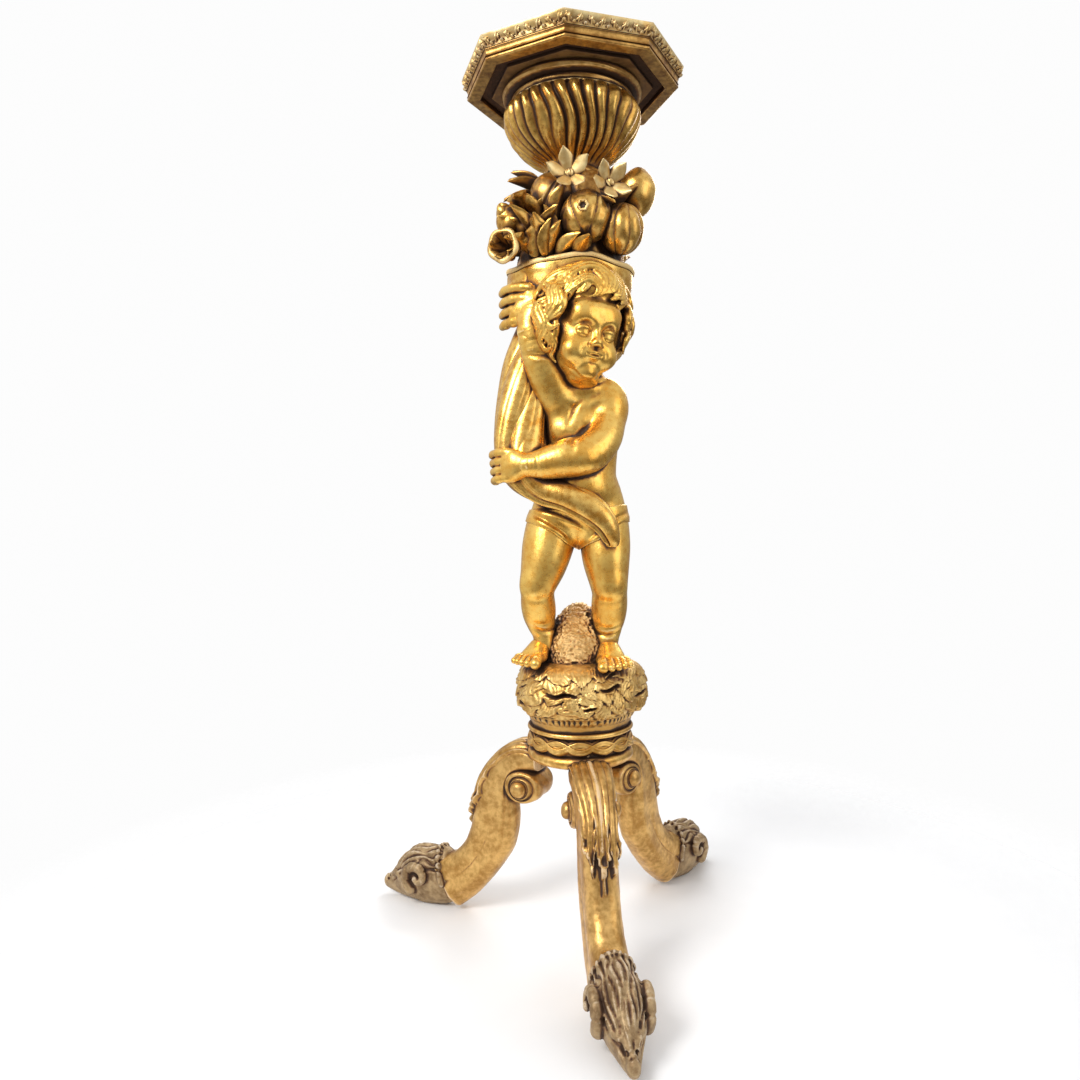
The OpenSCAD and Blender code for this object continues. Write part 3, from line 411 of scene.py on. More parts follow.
class Clay:
    """A block as signed distances on a regular grid: wood is negative, air is positive."""

    def __init__(self, low: Sequence[float], high: Sequence[float], grain: float) -> None:
        """Set up an empty block.

        Args:
            low: Lowest corner.
            high: Highest corner.
        """
        self.grain = grain * 1.0
        self.low = np.asarray(low, np.float32)
        count = np.ceil((np.asarray(high) - self.low) / self.grain).astype(int) + 1
        self.axes = [(at + np.arange(n) * self.grain).astype(np.float32) for at, n in zip(self.low, count)]
        self.field = np.full(count, FAR, np.float32)

    def window(self, low: np.ndarray, high: np.ndarray) -> tuple[slice, ...]:
        """The part of the grid between two corners."""
        first = np.clip(np.floor((low - self.low) / self.grain), 0, self.field.shape).astype(int)
        last = np.clip(np.ceil((high - self.low) / self.grain) + 1, 0, self.field.shape).astype(int)
        return tuple(slice(a, max(a, b)) for a, b in zip(first, last))

    def grid(self, window: tuple[slice, ...] = WHOLE) -> tuple[np.ndarray, np.ndarray, np.ndarray]:
        """The three coordinates over a window, ready to broadcast."""
        x, y, z = (axis[s] for axis, s in zip(self.axes, window))
        return x[:, None, None], y[None, :, None], z[None, None, :]

    def layer(self, lumps: list[Lump], margin: float) -> tuple[tuple[slice, ...], np.ndarray]:
        """Lumps on the grid.

        Args:
            lumps: The lumps.
            margin: How far round them their distance is needed.

        Returns:
            The window they lie in, and the distance from them there.
        """
        low = np.min([lump.low for lump in lumps], axis=0) - margin
        high = np.max([lump.high for lump in lumps], axis=0) + margin
        whole = self.window(low, high)
        layer = np.full([s.stop - s.start for s in whole], FAR, np.float32)
        for lump in lumps:
            w = self.window(lump.low - margin, lump.high + margin)
            inner = tuple(slice(s.start - o.start, s.stop - o.start) for s, o in zip(w, whole))
            if layer[inner].size:
                layer[inner] = np.minimum(layer[inner], lump.distance(*self.grid(w)))
        return whole, layer

    def add(self, lumps: list[Lump], blend: float = 1.0,
            tight: tuple[Sequence[float], float, float] | None = None) -> None:
        """Grow the block by lumps.

        Args:
            lumps: What is added.
            blend: How wide the join is rounded.
            tight: A place and a reach round which alone the join is that wide, and its width elsewhere.
        """
        window, layer = self.layer(lumps, blend + 2.5 * self.grain)
        if tight:
            place, reach, narrow = tight
            square = sum((axis - at) ** 2 for axis, at in zip(self.grid(window), place))
            blend = (narrow + (blend - narrow) * np.exp(-square / reach**2)).astype(np.float32)
        self.field[window] = joined(self.field[window], layer, blend)

    def cut(self, lumps: list[Lump], blend: float = 1.0) -> None:
        """Take lumps away, with the edge rounded by blend."""
        window, layer = self.layer(lumps, blend + 2.5 * self.grain)
        self.field[window] = -joined(-self.field[window], layer, blend)

    def blank(self) -> Clay:
        """An empty block on the same grid."""
        made = copy.copy(self)
        made.field = np.full(self.field.shape, FAR, np.float32)
        return made

    def stroke(self, path: Knots, depth: float, width: float, along: Sequence[float] = (0, 1, 0),
               reach: float = 14) -> None:
        """Draw a soft crease, or a soft ridge, over the surface.

        Args:
            path: Rows of x, y, z, and a share of the depth where it isn't one.
            depth: How deep the crease is; a ridge is negative.
            width: Half width.
            along: The way the tool points, in which it is felt as far as its reach.
            reach: That reach.
        """
        run = smoothed([(*k, 1.0) if len(k) == 3 else k for k in path], 4)
        way = unit(np.asarray(along, float)).astype(np.float32)
        margin = 2.2 * width + np.abs(way) * (reach + width)
        window = self.window(run[:, :3].min(0) - margin, run[:, :3].max(0) + margin)
        x, y, z = self.grid(window)
        felt = np.zeros(self.field[window].shape, np.float32)
        for a, b in zip(run[:-1].astype(np.float32), run[1:].astype(np.float32)):
            leg = (b - a)[:3]
            flat = leg - way * (leg @ way)
            dx, dy, dz = x - a[0], y - a[1], z - a[2]
            t = np.clip((dx * flat[0] + dy * flat[1] + dz * flat[2]) / max(float(flat @ flat), 1e-6), 0, 1)
            ex, ey, ez = dx - leg[0] * t, dy - leg[1] * t, dz - leg[2] * t
            e = ex * way[0] + ey * way[1] + ez * way[2]
            past = np.maximum(np.abs(e) - reach, 0)
            square = ex * ex + ey * ey + ez * ez - e * e + past * past
            felt = np.maximum(felt, (a[3] + (b[3] - a[3]) * t) * np.exp(-square / width**2))
        self.field[window] += depth * felt

    def shell(self, smooth: int = 2) -> Shell:
        """The block's surface, with its grid steps smoothed."""
        band = 3 * self.grain
        grid = openvdb.FloatGrid(band)
        grid.copyFromArray(np.ascontiguousarray(np.clip(self.field, -band, band)))
        points, quads = grid.convertToQuads(isovalue=0.0)
        shell = Shell(points.astype(float) * self.grain + self.low, quads.astype(int)).outward()
        shell.points = shell.relaxed(smooth, 0.5, 0.52)
        return shell


# ---------- Node trees ----------


def operator(operation: str, reflected: bool = False) -> Callable[[Any, Any], Any]:
    """An operator of a socket.

    Args:
        operation: The step of arithmetic that it adds to the tree.
        reflected: Whether the other value comes first.

    Returns:
        The method.
    """

    def method(self: Socket, other: Socket | float) -> Socket:
        """Add the step to the tree."""
        return self.tree.maths(operation, *((other, self) if reflected else (self, other)))

    return method


@dataclass(frozen=True)
class Socket:
    """A value in a node tree, with arithmetic."""

    tree: Tree
    output: Any

    __add__, __radd__ = operator("ADD"), operator("ADD", True)
    __sub__, __rsub__ = operator("SUBTRACT"), operator("SUBTRACT", True)
    __mul__, __rmul__ = operator("MULTIPLY"), operator("MULTIPLY", True)
    __pow__, __rpow__ = operator("POWER"), operator("POWER", True)

    def __neg__(self) -> Socket:
        """The value with its sign turned."""
        return self * -1.0

    def step(self, low: float, high: float) -> Socket:
        """Smooth step from 0 at low to 1 at high."""
        return self.tree.out("ShaderNodeMapRange", {"interpolation_type": "SMOOTHSTEP"}, {
            "Value": self, "From Min": low, "From Max": high, "To Min": 0.0, "To Max": 1.0}, "Result")

    def split(self) -> tuple[Socket, ...]:
        """The three parts of a vector."""
        made = self.tree.node("ShaderNodeSeparateXYZ", {}, {0: self})
        return tuple(Socket(self.tree, out) for out in made.outputs)


@dataclass(frozen=True)
class Tree:
    """A node tree, and the one way its nodes are made."""

    nodes: Any
    links: Any

    @classmethod
    def emptied(cls, owner: Any) -> Tree:
        """The tree of a material or of the world, with no nodes in it."""
        owner.use_nodes = True
        owner.node_tree.nodes.clear()
        return cls(owner.node_tree.nodes, owner.node_tree.links)

    def node(self, kind: str, settings: dict[str, Any], values: dict[Any, Any]) -> Any:
        """Make a node.

        Args:
            kind: The node's type.
            settings: Its own settings, set first.
            values: Constants and links for its inputs.

        Returns:
            The node.
        """
        made = self.nodes.new(kind)
        for name, value in settings.items():
            setattr(made, name, value)
        for key, value in values.items():
            if isinstance(value, Socket):
                self.links.new(value.output, made.inputs[key])
            else:
                made.inputs[key].default_value = value
        return made

    def out(self, kind: str, settings: dict[str, Any], values: dict[Any, Any], name: Any = 0) -> Socket:
        """Make a node and give one of its outputs."""
        return Socket(self, self.node(kind, settings, values).outputs[name])

    def maths(self, operation: str, *values: Socket | float) -> Socket:
        """One step of arithmetic."""
        return self.out("ShaderNodeMath", {"operation": operation}, dict(enumerate(values)))

    def vector(self, **parts: Socket | float) -> Socket:
        """A vector from its parts X, Y and Z."""
        return self.out("ShaderNodeCombineXYZ", {}, parts)

    def attribute(self, name: str) -> Socket:
        """A number stored at each point of a mesh."""
        return self.out("ShaderNodeAttribute", {"attribute_name": name}, {}, "Fac")

    def mix(self, share: Socket | float, first: Socket | Colour, second: Socket | Colour) -> Socket:
        """Colour between two, at a share of the way."""
        first, second = (v if isinstance(v, Socket) else (*v, 1.0) for v in (first, second))
        return self.out("ShaderNodeMix", {"data_type": "RGBA", "clamp_factor": True},
                        {0: share, 6: first, 7: second}, 2)


@dataclass
class Grain:
    """The random patterns that materials are mixed from, by Object coordinates."""

    tree: Tree

    def __post_init__(self) -> None:
        """Find the place on the piece."""
        self.place = self.tree.out("ShaderNodeTexCoord", {}, {}, "Object")

    def noise(self, size: float, detail: float = 3.0, rough: float = 0.55, tall: float = 1.0) -> Socket:
        """Random pattern.

        Args:
            size: Width of its lumps, in millimetres.
            detail: How many finer patterns lie over it.
            rough: How strong those are.
            tall: How many times taller than wide its lumps are.

        Returns:
            Numbers about one half.
        """
        at = self.place
        if tall != 1:
            at = self.tree.out("ShaderNodeVectorMath", {"operation": "MULTIPLY"}, {
                0: at, 1: (1, 1, 1 / tall)})
        return self.tree.out("ShaderNodeTexNoise", {}, {
            "Vector": at, "Scale": 1.0 / (size * MM), "Detail": detail, "Roughness": rough})

    def cells(self, size: float) -> Socket:
        """Distance to the middle of irregular cells of a size in millimetres."""
        return self.tree.out("ShaderNodeTexVoronoi", {"feature": "F1"}, {
            "Vector": self.place, "Scale": 1.0 / (size * MM)}, "Distance")


@dataclass(frozen=True)
class Gilding:
    """A gilt finish, from bright burnished gold to rubbed brown wood.

    Attributes:
        slot: The record's name for it.
        light: Gold where it is thick.
        deep: Gold where it is thin, and the painted shade of hollows and of low parts.
        bole: Red ground under the gold.
        glaze_and_painted_shade: Old dirt in hollows, and painted shade where they are shut in and on low
            parts.
        worn: Colour of rubbed edges, which also paints a highlight along sharp ridges.
        polish: Roughness of the gold.
        metal: How metallic the gold is.
        rubbed: How far the edges are rubbed through, and so how far the painted ridge highlight spreads.
        dirt: How much dirt has settled.
        grit: How rough the ground under the gold is.
        streaks: How strong the upright tool marks are.
        shade: Heights in metres of painted shade: below the first the gold is painted deepest and darkest,
            fading out at the second.
    """

    slot: str
    light: Colour = (1.0, 0.66, 0.17)
    deep: Colour = (0.82, 0.44, 0.075)
    bole: Colour = (0.38, 0.10, 0.02)
    glaze_and_painted_shade: Colour = (0.05, 0.02, 0.006)
    worn: Colour = (1.0, 0.76, 0.36)
    polish: float = 0.27
    metal: float = 0.9
    rubbed: float = 0.05
    dirt: float = 0.5
    grit: float = 0.15
    streaks: float = 0.1
    shade: tuple[float, float] = (-0.02, -0.01)

    def material(self) -> bpy.types.Material:
        """Build the material."""
        made = bpy.data.materials.new(self.slot)
        tree = Tree.emptied(made)
        grain = Grain(tree)
        hollow, edge = tree.attribute("hollow"), tree.attribute("edge")
        patches, clouds, flecks, dust = (grain.noise(*n) for n in ((26,), (7, 4.0), (1.6, 2.0), (0.5, 1.0)))
        gold = tree.mix((patches * 0.6 + clouds * 0.5).step(0.38, 0.72), self.deep, self.light)
        gold = tree.mix(flecks.step(0.56, 0.72) * 0.22, gold, self.light)
        # Painted shade: the gold deepens in shut-in hollows, where shade falls.
        gold = tree.mix(hollow.step(0.12, 0.6) * 0.75, gold, self.deep)
        # Painted shade on low parts: darker towards the bottom, below the shade heights.
        low = grain.place.split()[2].step(self.shade[1], self.shade[0])
        gold = tree.mix(low * 0.8, gold, self.deep)
        red = (hollow * 0.9 + clouds * 0.75 + flecks * 0.25 - 0.2).step(0.52, 0.80)
        red = red * hollow.step(0.08, 0.34) * 0.6
        # Rubbed edges and painted highlight: sharp ridges turn paler and less metallic.
        rub_and_highlight = (edge * 0.7 + patches * 0.5 + flecks * 0.42 - (1.0 - self.rubbed)).step(0.02, 0.3) * 0.85
        specks = (grain.cells(5.0) + (1.0 - flecks) * 0.3).step(0.36, 0.24)
        specks = specks * patches.step(0.45, 0.62) * self.dirt
        # Painted shade and real dirt: darkest in shut-in hollows and on low parts, where shade falls and dirt
        # settles.
        dark = hollow * (1.15 + low * 1.6) + low * 0.16 + clouds * 0.4 + self.dirt * 0.3 - 0.3
        dark = dark.step(0.42, 0.85)
        colour = gold
        for share, over in (
                (red, self.bole), (rub_and_highlight, self.worn), (specks * 0.5, self.bole), (dark, self.glaze_and_painted_shade)):
            colour = tree.mix(share, colour, over)
        leaf = (1.0 - red * 0.7) * (1.0 - rub_and_highlight * 0.85) * (1.0 - dark * 0.9)
        rough = self.polish + clouds * 0.16 + (1.0 - leaf) * 0.3 + flecks * 0.08 - 0.1
        tooling = grain.noise(5.0, 2.0, 0.5, 1 / 0.22) * (0.6 + self.streaks * 4.0)
        relief = dust * self.grit + flecks * (0.5 + self.grit) + tooling + clouds * 0.8
        bump = tree.out("ShaderNodeBump", {}, {
            "Strength": 0.35 + self.grit * 0.6, "Distance": 0.0004, "Height": relief})
        shader = tree.out("ShaderNodeBsdfPrincipled", {}, {
            "Base Color": colour, "Roughness": rough, "Metallic": leaf * self.metal, "Normal": bump,
            "Coat Weight": 0.06, "Coat Roughness": 0.35})
        tree.node("ShaderNodeOutputMaterial", {}, {"Surface": shader})
        return made


class Finish(Enum):
    """The finishes of the stand."""

    BURNISHED = Gilding("burnished_gilding", light=(1.0, 0.645, 0.16), deep=(0.84, 0.43, 0.07), dirt=0.3)
    HORN = Gilding("horn_gilding", light=(0.98, 0.63, 0.17), deep=(0.60, 0.27, 0.035), polish=0.26)
    # The rock's lower fringe gets painted shade, from its shade heights.
    ROCK = Gilding("rock_gilding", light=(0.96, 0.66, 0.24), deep=(0.50, 0.25, 0.05), dirt=0.6, polish=0.35,
                   grit=0.3, metal=0.85, shade=(0.306, 0.330))
    STUMP = Gilding("stump_gilding", light=(0.84, 0.56, 0.24), deep=(0.48, 0.27, 0.08), metal=0.65,
                    polish=0.42, grit=0.9, dirt=0.4, rubbed=0.2)
    WORN = Gilding("worn_gilding", light=(0.78, 0.48, 0.16), deep=(0.40, 0.20, 0.045), rubbed=0.13, dirt=0.8,
                   polish=0.33, metal=0.82, grit=0.3, streaks=0.3, worn=(0.80, 0.58, 0.34))
    DRUM = Gilding("worn_gilding", light=(0.96, 0.61, 0.19), deep=(0.54, 0.27, 0.05), dirt=0.55, polish=0.30)
    RUBBED = Gilding("rubbed_gilding", light=(0.50, 0.35, 0.18), deep=(0.22, 0.13, 0.055), rubbed=0.3,
                     dirt=1.0, polish=0.44, metal=0.55, grit=0.5, streaks=0.4, worn=(0.60, 0.47, 0.32))
    FRUIT = Gilding("fruit_gilding", light=(0.92, 0.58, 0.16), deep=(0.50, 0.24, 0.04), dirt=0.7)
    BULB = Gilding("brown_gilding", light=(0.92, 0.58, 0.15), deep=(0.48, 0.23, 0.04), dirt=0.65)
    # Darker brown gold for the foliage block, the back and side leaves, the apple and the rails: partly the
    # gold's own tone, partly painted shade, as these parts lie in shade.
    BROWN = Gilding("brown_gilding", light=(0.80, 0.47, 0.13), deep=(0.30, 0.13, 0.026), dirt=0.9, metal=0.8,
                    polish=0.31, worn=(0.86, 0.58, 0.22), rubbed=0.12)
    # Pale gold for the top moulding and the star flowers: partly worn gesso, partly a painted highlight of
    # the sunlight on them.
    PALE = Gilding("pale_gilding", light=(0.97, 0.78, 0.40), deep=(0.74, 0.48, 0.17), worn=(0.90, 0.74, 0.48),
                   rubbed=0.2, dirt=0.6, metal=0.75, polish=0.38)
    # Painted shade: the pad and the board under the top are coloured dark brown, as they lie in shade.
    SOFFIT = Gilding("dark_underside", light=(0.30, 0.155, 0.045), deep=(0.15, 0.07, 0.018), metal=0.25,
                     polish=0.6, dirt=1.0)
    WOOD = Gilding("bare_wood", light=(0.52, 0.36, 0.20), deep=(0.36, 0.22, 0.11), metal=0.0, polish=0.65,
                   dirt=0.2, streaks=0.9)


@dataclass(frozen=True)
class ShapeTree:
    """A geometry tree under way, with its named inputs.

    Attributes:
        group: The geometry tree.
        tree: What makes its nodes.
        take: Its named inputs.
    """

    group: bpy.types.NodeTree
    tree: Tree
    take: dict[str, Socket]

    @classmethod
    def started(cls, name: str, **inputs: str) -> ShapeTree:
        """Start a tree whose inputs have the names and kinds given."""
        group = bpy.data.node_groups.new(name, "GeometryNodeTree")
        for label, kind in inputs.items():
            group.interface.new_socket(label, in_out="INPUT", socket_type=f"NodeSocket{kind}")
        group.interface.new_socket("Geometry", in_out="OUTPUT", socket_type="NodeSocketGeometry")
        tree = Tree(group.nodes, group.links)
        given = tree.node("NodeGroupInput", {}, {})
        return cls(group, tree, {s.name: Socket(tree, s) for s in given.outputs if s.name})

    def shape(self, kind: str, **values: Any) -> Socket:
        """Make a node that makes or changes a shape, its inputs named with _ for each space."""
        return self.tree.out(kind, {}, {name.replace("_", " "): value for name, value in values.items()})

    def carved(self, shape: Socket, mesh: bpy.types.Mesh, values: dict[str, Any]) -> bpy.types.Mesh:
        """Set the material, run the tree once, and keep what it makes as a plain mesh.

        Args:
            shape: The last shape in the tree.
            mesh: What the tree starts from.
            values: Its named inputs.

        Returns:
            The mesh it made.
        """
        dressed = self.shape("GeometryNodeSetMaterial", Geometry=shape, Material=self.take["Material"])
        self.tree.node("NodeGroupOutput", {}, {0: dressed})
        worked = put("worked", mesh)
        modifier = worked.modifiers.new("tree", "NODES")
        modifier.node_group = self.group
        for item in self.group.interface.items_tree:
            if item.in_out == "INPUT" and item.name in values:
                modifier[item.identifier] = values[item.name]
        bpy.context.view_layer.update()
        seen = worked.evaluated_get(bpy.context.evaluated_depsgraph_get())
        made = bpy.data.meshes.new_from_object(seen)
        bpy.data.objects.remove(worked)
        bpy.data.meshes.remove(mesh)
        bpy.data.node_groups.remove(self.group)
        return made


@dataclass
class Row:
    """Copies of a carved unit, laid out by a node tree in a row or a ring.

    Attributes:
        count: How many copies.
        start: Place of the first copy.
        step: Way from each copy to the next.
        turn: Turn from each copy to the next, in degrees.
        facing: Turn of the whole row, in degrees.
        uneven: Share by which hand-cut copies differ in size.
        seed: Which random pattern.
    """

    count: int
    start: tuple[float, float, float] = (0, 0, 0)
    step: tuple[float, float, float] = (0, 0, 0)
    turn: float = 0
    facing: float = 0
    uneven: float = 0.0
    seed: int = 3

    def laid(self, unit_shell: Shell, material: bpy.types.Material) -> bpy.types.Mesh:
        """Lay out copies of a unit as a plain mesh, in metres.

        Args:
            unit_shell: The unit.
            material: What it is finished with.

        Returns:
            The mesh.
        """
        making = ShapeTree.started(
            "row_of_units", Geometry="Geometry", Count="Int", Start="Vector", Step="Vector", Turn="Float",
            Facing="Float", Uneven="Float", Seed="Int", Material="Material")
        tree, take, shape = making.tree, making.take, making.shape
        line = shape("GeometryNodeMeshLine", Count=take["Count"], Start_Location=take["Start"],
                     Offset=take["Step"])
        index = shape("GeometryNodeInputIndex")
        size = tree.out("FunctionNodeRandomValue", {"data_type": "FLOAT"}, {
            2: 1.0 - take["Uneven"], 3: 1.0 + take["Uneven"], "ID": index, "Seed": take["Seed"]}, 1)
        copies = shape(
            "GeometryNodeInstanceOnPoints", Points=line, Instance=take["Geometry"],
            Rotation=tree.vector(Z=index * take["Turn"]), Scale=tree.vector(X=size, Y=size, Z=size))
        plain = shape("GeometryNodeRealizeInstances", Geometry=copies)
        faced = shape("GeometryNodeTransform", Geometry=plain, Rotation=tree.vector(Z=take["Facing"]))
        return making.carved(faced, to_mesh("unit", unit_shell), {
            "Count": self.count, "Start": [v * MM for v in self.start], "Step": [v * MM for v in self.step],
            "Turn": math.radians(self.turn), "Facing": math.radians(self.facing), "Uneven": self.uneven,
            "Seed": self.seed, "Material": material})


@dataclass
class FlutedBulb:
    """A bulb that a node tree makes from a plain cylinder.

    Attributes:
        profile: Share of the height and of the radius, from the foot up.
        low: Height of the foot.
        high: Height of the top.
        radius: Greatest radius.
        flutes: How many flutes.
        depth: Depth of a flute.
        twist: Turn of the flutes from foot to top, in degrees.
    """

    profile: Knots
    low: float
    high: float
    radius: float
    flutes: int
    depth: float
    twist: float

    def outline(self, tree: Tree, share: Socket) -> Socket:
        """Radius at a share of the height, as a share of the greatest."""
        full = tree.node("ShaderNodeFloatCurve", {}, {"Value": share})
        curve = full.mapping.curves[0]
        first, *between, last = self.profile
        curve.points[0].location, curve.points[-1].location = first, last
        for place in between:
            curve.points.new(*place)
        full.mapping.update()
        return Socket(tree, full.outputs[0])

    def laid(self, material: bpy.types.Material) -> bpy.types.Mesh:
        """Carve the bulb as a plain mesh, in metres.

        Args:
            material: What it is finished with.

        Returns:
            The mesh.
        """
        making = ShapeTree.started("fluted_bulb", Low="Float", High="Float", Radius="Float", Flutes="Float",
                                   Depth="Float", Twist="Float", Material="Material")
        tree, take, shape = making.tree, making.take, making.shape
        coarse = 1
        barrel = tree.out("GeometryNodeMeshCylinder", {"fill_type": "TRIANGLE_FAN"}, {
            "Vertices": self.flutes * 18 // coarse, "Side Segments": 100 // coarse, "Radius": 1.0,
            "Depth": 1.0})
        x, y, z = shape("GeometryNodeInputPosition").split()
        share = z + 0.5
        angle = tree.maths("ARCTAN2", y, x)

        def wave(at: Socket) -> Socket:
            """Sine of an angle."""
            return tree.maths("SINE", at)

        radius = self.outline(tree, share) * take["Radius"]
        sway = wave(share * 7.0 + angle * 3.0) * 0.05 + wave(angle * 5.0) * 0.03
        uneven = 1.0 + 0.28 * wave(angle * 2.0 + 3.6 + share * 2.0) + 0.16 * wave(angle * 7.0)
        near = tree.maths("ABSOLUTE", wave((angle + share * take["Twist"] + sway) * take["Flutes"] * 0.5))
        rib = 1.0 - (1.0 - near**0.9) * (share.step(0.02, 0.16) * 0.8 + 0.2) * (1.0 - share.step(0.955, 1.0))
        out = (radius - (1.0 - rib) * take["Depth"] * uneven) * tree.maths("SQRT", x * x + y * y)
        place = tree.vector(X=out * tree.maths("COSINE", angle), Y=out * wave(angle),
                            Z=take["Low"] + share * (take["High"] - take["Low"]))
        fluted = shape("GeometryNodeSetPosition", Geometry=barrel, Position=place)
        plain = shape("GeometryNodeRealizeInstances", Geometry=fluted)
        return making.carved(plain, bpy.data.meshes.new("empty"), {
            "Low": self.low * MM, "High": self.high * MM, "Radius": self.radius * MM,
            "Flutes": float(self.flutes), "Depth": self.depth * MM, "Twist": math.radians(self.twist),
            "Material": material})


# ---------- From shells to finished pieces ----------


def put(name: str, data: Any) -> bpy.types.Object:
    """Make an object of a mesh, a lamp or a lens, and link it to the scene."""
    made = bpy.data.objects.new(name, data)
    bpy.context.collection.objects.link(made)
    return made


def to_mesh(name: str, shell: Shell) -> bpy.types.Mesh:
    """Make a smooth mesh, in metres, from a shell.

    Args:
        name: Name of the mesh.
        shell: The shell, in millimetres.

    Returns:
        The mesh.
    """
    mesh = bpy.data.meshes.new(name)
    loops = np.concatenate([shell.quads.ravel(), shell.tris.ravel()]).astype(np.int32)
    sizes = np.concatenate([np.full(len(shell.quads), 4), np.full(len(shell.tris), 3)])
    mesh.vertices.add(len(shell.points))
    mesh.vertices.foreach_set("co", (shell.points * MM).astype(np.float32).ravel())
    mesh.loops.add(len(loops))
    mesh.loops.foreach_set("vertex_index", loops)
    mesh.polygons.add(len(sizes))
    mesh.polygons.foreach_set("loop_start", (np.cumsum(sizes) - sizes).astype(np.int32))
    mesh.update(calc_edges=True)
    mesh.validate()
    mesh.shade_smooth()
    return mesh


def from_mesh(mesh: bpy.types.Mesh) -> Shell:
    """Read a mesh back as a shell of triangles, in millimetres."""
    points = np.empty(len(mesh.vertices) * 3, np.float32)
    mesh.vertices.foreach_get("co", points)
    mesh.calc_loop_triangles()
    tris = np.empty(len(mesh.loop_triangles) * 3, np.int32)
    mesh.loop_triangles.foreach_get("vertices", tris)
    return Shell(points.reshape(-1, 3).astype(float) / MM, tris=tris.reshape(-1, 3).astype(int))


@dataclass
class Carved:
    """One finished piece that waits to be gilded.

    Attributes:
        name: Name of the piece.
        shell: Its surface.
        finish: What it is gilded with.
        nodes: The model's nodes that it takes the place of.
        crisp: Angle in degrees over which edges stay sharp.
        mesh: Its mesh, where a node tree has made one.
    """

    name: str
    shell: Shell
    finish: Finish
    nodes: tuple[str, ...]
    crisp: float = 180
    mesh: bpy.types.Mesh | None = None

    def dressed(self, hollow: np.ndarray, edge: np.ndarray, material: bpy.types.Material) -> bpy.types.Object:
        """Make the piece's object, with its measures of hollow and edge, and its material.

        Args:
            hollow: How deep in a hollow each point lies.
            edge: How sharp an edge it lies on.
            material: The piece's material.

        Returns:
            The object.
        """
        mesh = self.mesh or to_mesh(self.name, self.shell)
        for name, values in (("hollow", hollow), ("edge", edge)):
            layer = mesh.attributes.new(name, "FLOAT", "POINT")
            layer.data.foreach_set("value", values.astype(np.float32))
        if self.crisp < 180:
            mesh.set_sharp_from_angle(angle=math.radians(self.crisp))
        mesh.materials.clear()
        mesh.materials.append(material)
        return put(self.name, mesh)


@dataclass
class Bench:
    """Where pieces gather, until every hollow of the whole stand can be measured."""

    pieces: list[Carved] = field(default_factory=list)
    materials: dict[Finish, bpy.types.Material] = field(default_factory=dict)

    def material(self, finish: Finish) -> bpy.types.Material:
        """The material of a finish, made once."""
        if finish not in self.materials:
            self.materials[finish] = finish.value.material()
        return self.materials[finish]

    def keep(self, name: str, made: Shell | bpy.types.Mesh, finish: Finish, *nodes: str,
             crisp: float = 180) -> None:
        """Put a piece on the bench.

        Args:
            name: Name of the piece.
            made: Its surface, or the mesh that a node tree made.
            finish: What it is gilded with.
            nodes: The model's nodes it takes the place of.
            crisp: Angle over which edges stay sharp.
        """
        mesh = None
        if not isinstance(made, Shell):
            mesh, made = made, from_mesh(made)
            mesh.name = name
            mesh.shade_smooth()
        self.pieces.append(Carved(name, made, finish, nodes, crisp, mesh))
        LOG.info("%s: %d triangles", name, len(made.triangles()))

    def air(self, cell: float = 3.0, edge: float = 30,
            reach: float = 8.0) -> Callable[[np.ndarray], np.ndarray]:
        """Measure the air round the whole stand.

        Args:
            cell: Distance between the places measured.
            edge: How far past the stand they go.
            reach: How many cells away from a surface is far enough.

        Returns:
            A function from places to their distance from the nearest surface.
        """
        whole = self.pieces[0].shell.with_(*[p.shell for p in self.pieces[1:]])
        low = whole.points.min(0) - edge
        grid = openvdb.FloatGrid.createLevelSetFromPolygons(
            ((whole.points - low) / cell).astype(np.float32), triangles=whole.triangles().astype(np.uint32),
            transform=openvdb.createLinearTransform(1.0), exBandWidth=reach, inBandWidth=3.0)
        near = np.full(np.ceil((whole.points.max(0) + edge - low) / cell).astype(int) + 1, reach, np.float32)
        grid.copyToArray(near)

        def distance(at: np.ndarray) -> np.ndarray:
            """Distance from the nearest surface, between the places measured."""
            p = np.clip((at - low) / cell, 0, np.array(near.shape) - 1.001)
            i = p.astype(int)
            return sum(share * near[tuple((i + corner).T)] for corner, share in corners(p - i)) * cell

        return distance

    def gild(self, reaches: Sequence[float] = (5.0, 11.0, 20.0)) -> None:
        """Measure each piece's hollows and edges, and finish it.

        Args:
            reaches: How far out the air is felt, for narrow and for wide hollows.
        """
        distance = self.air()
        for piece in self.pieces:
            points, out = piece.shell.points, piece.shell.normals()
            # How shut in each point is by nearby surfaces, like ambient occlusion; the gilding paints shade
            # from it.
            free = sum(np.clip(distance(points + out * reach) / reach, 0, 1) for reach in reaches)
            bend = np.einsum("ij,ij->i", points - piece.shell.relaxed(6), out)
            bend = bend / max(float(np.percentile(np.abs(bend), 92)), 0.05)
            hollow = np.clip((1 - free / len(reaches)) * 0.85 + np.clip(-bend, 0, 1.5) * 0.25, 0, 1)
            made = piece.dressed(hollow, np.clip(bend * 0.6, 0, 1), self.material(piece.finish))
            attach(made, "root")
            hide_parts(*piece.nodes)


# ---------- Levels ----------

RIM_SHARE = 0.8018  # of the way from the soles to the bulb


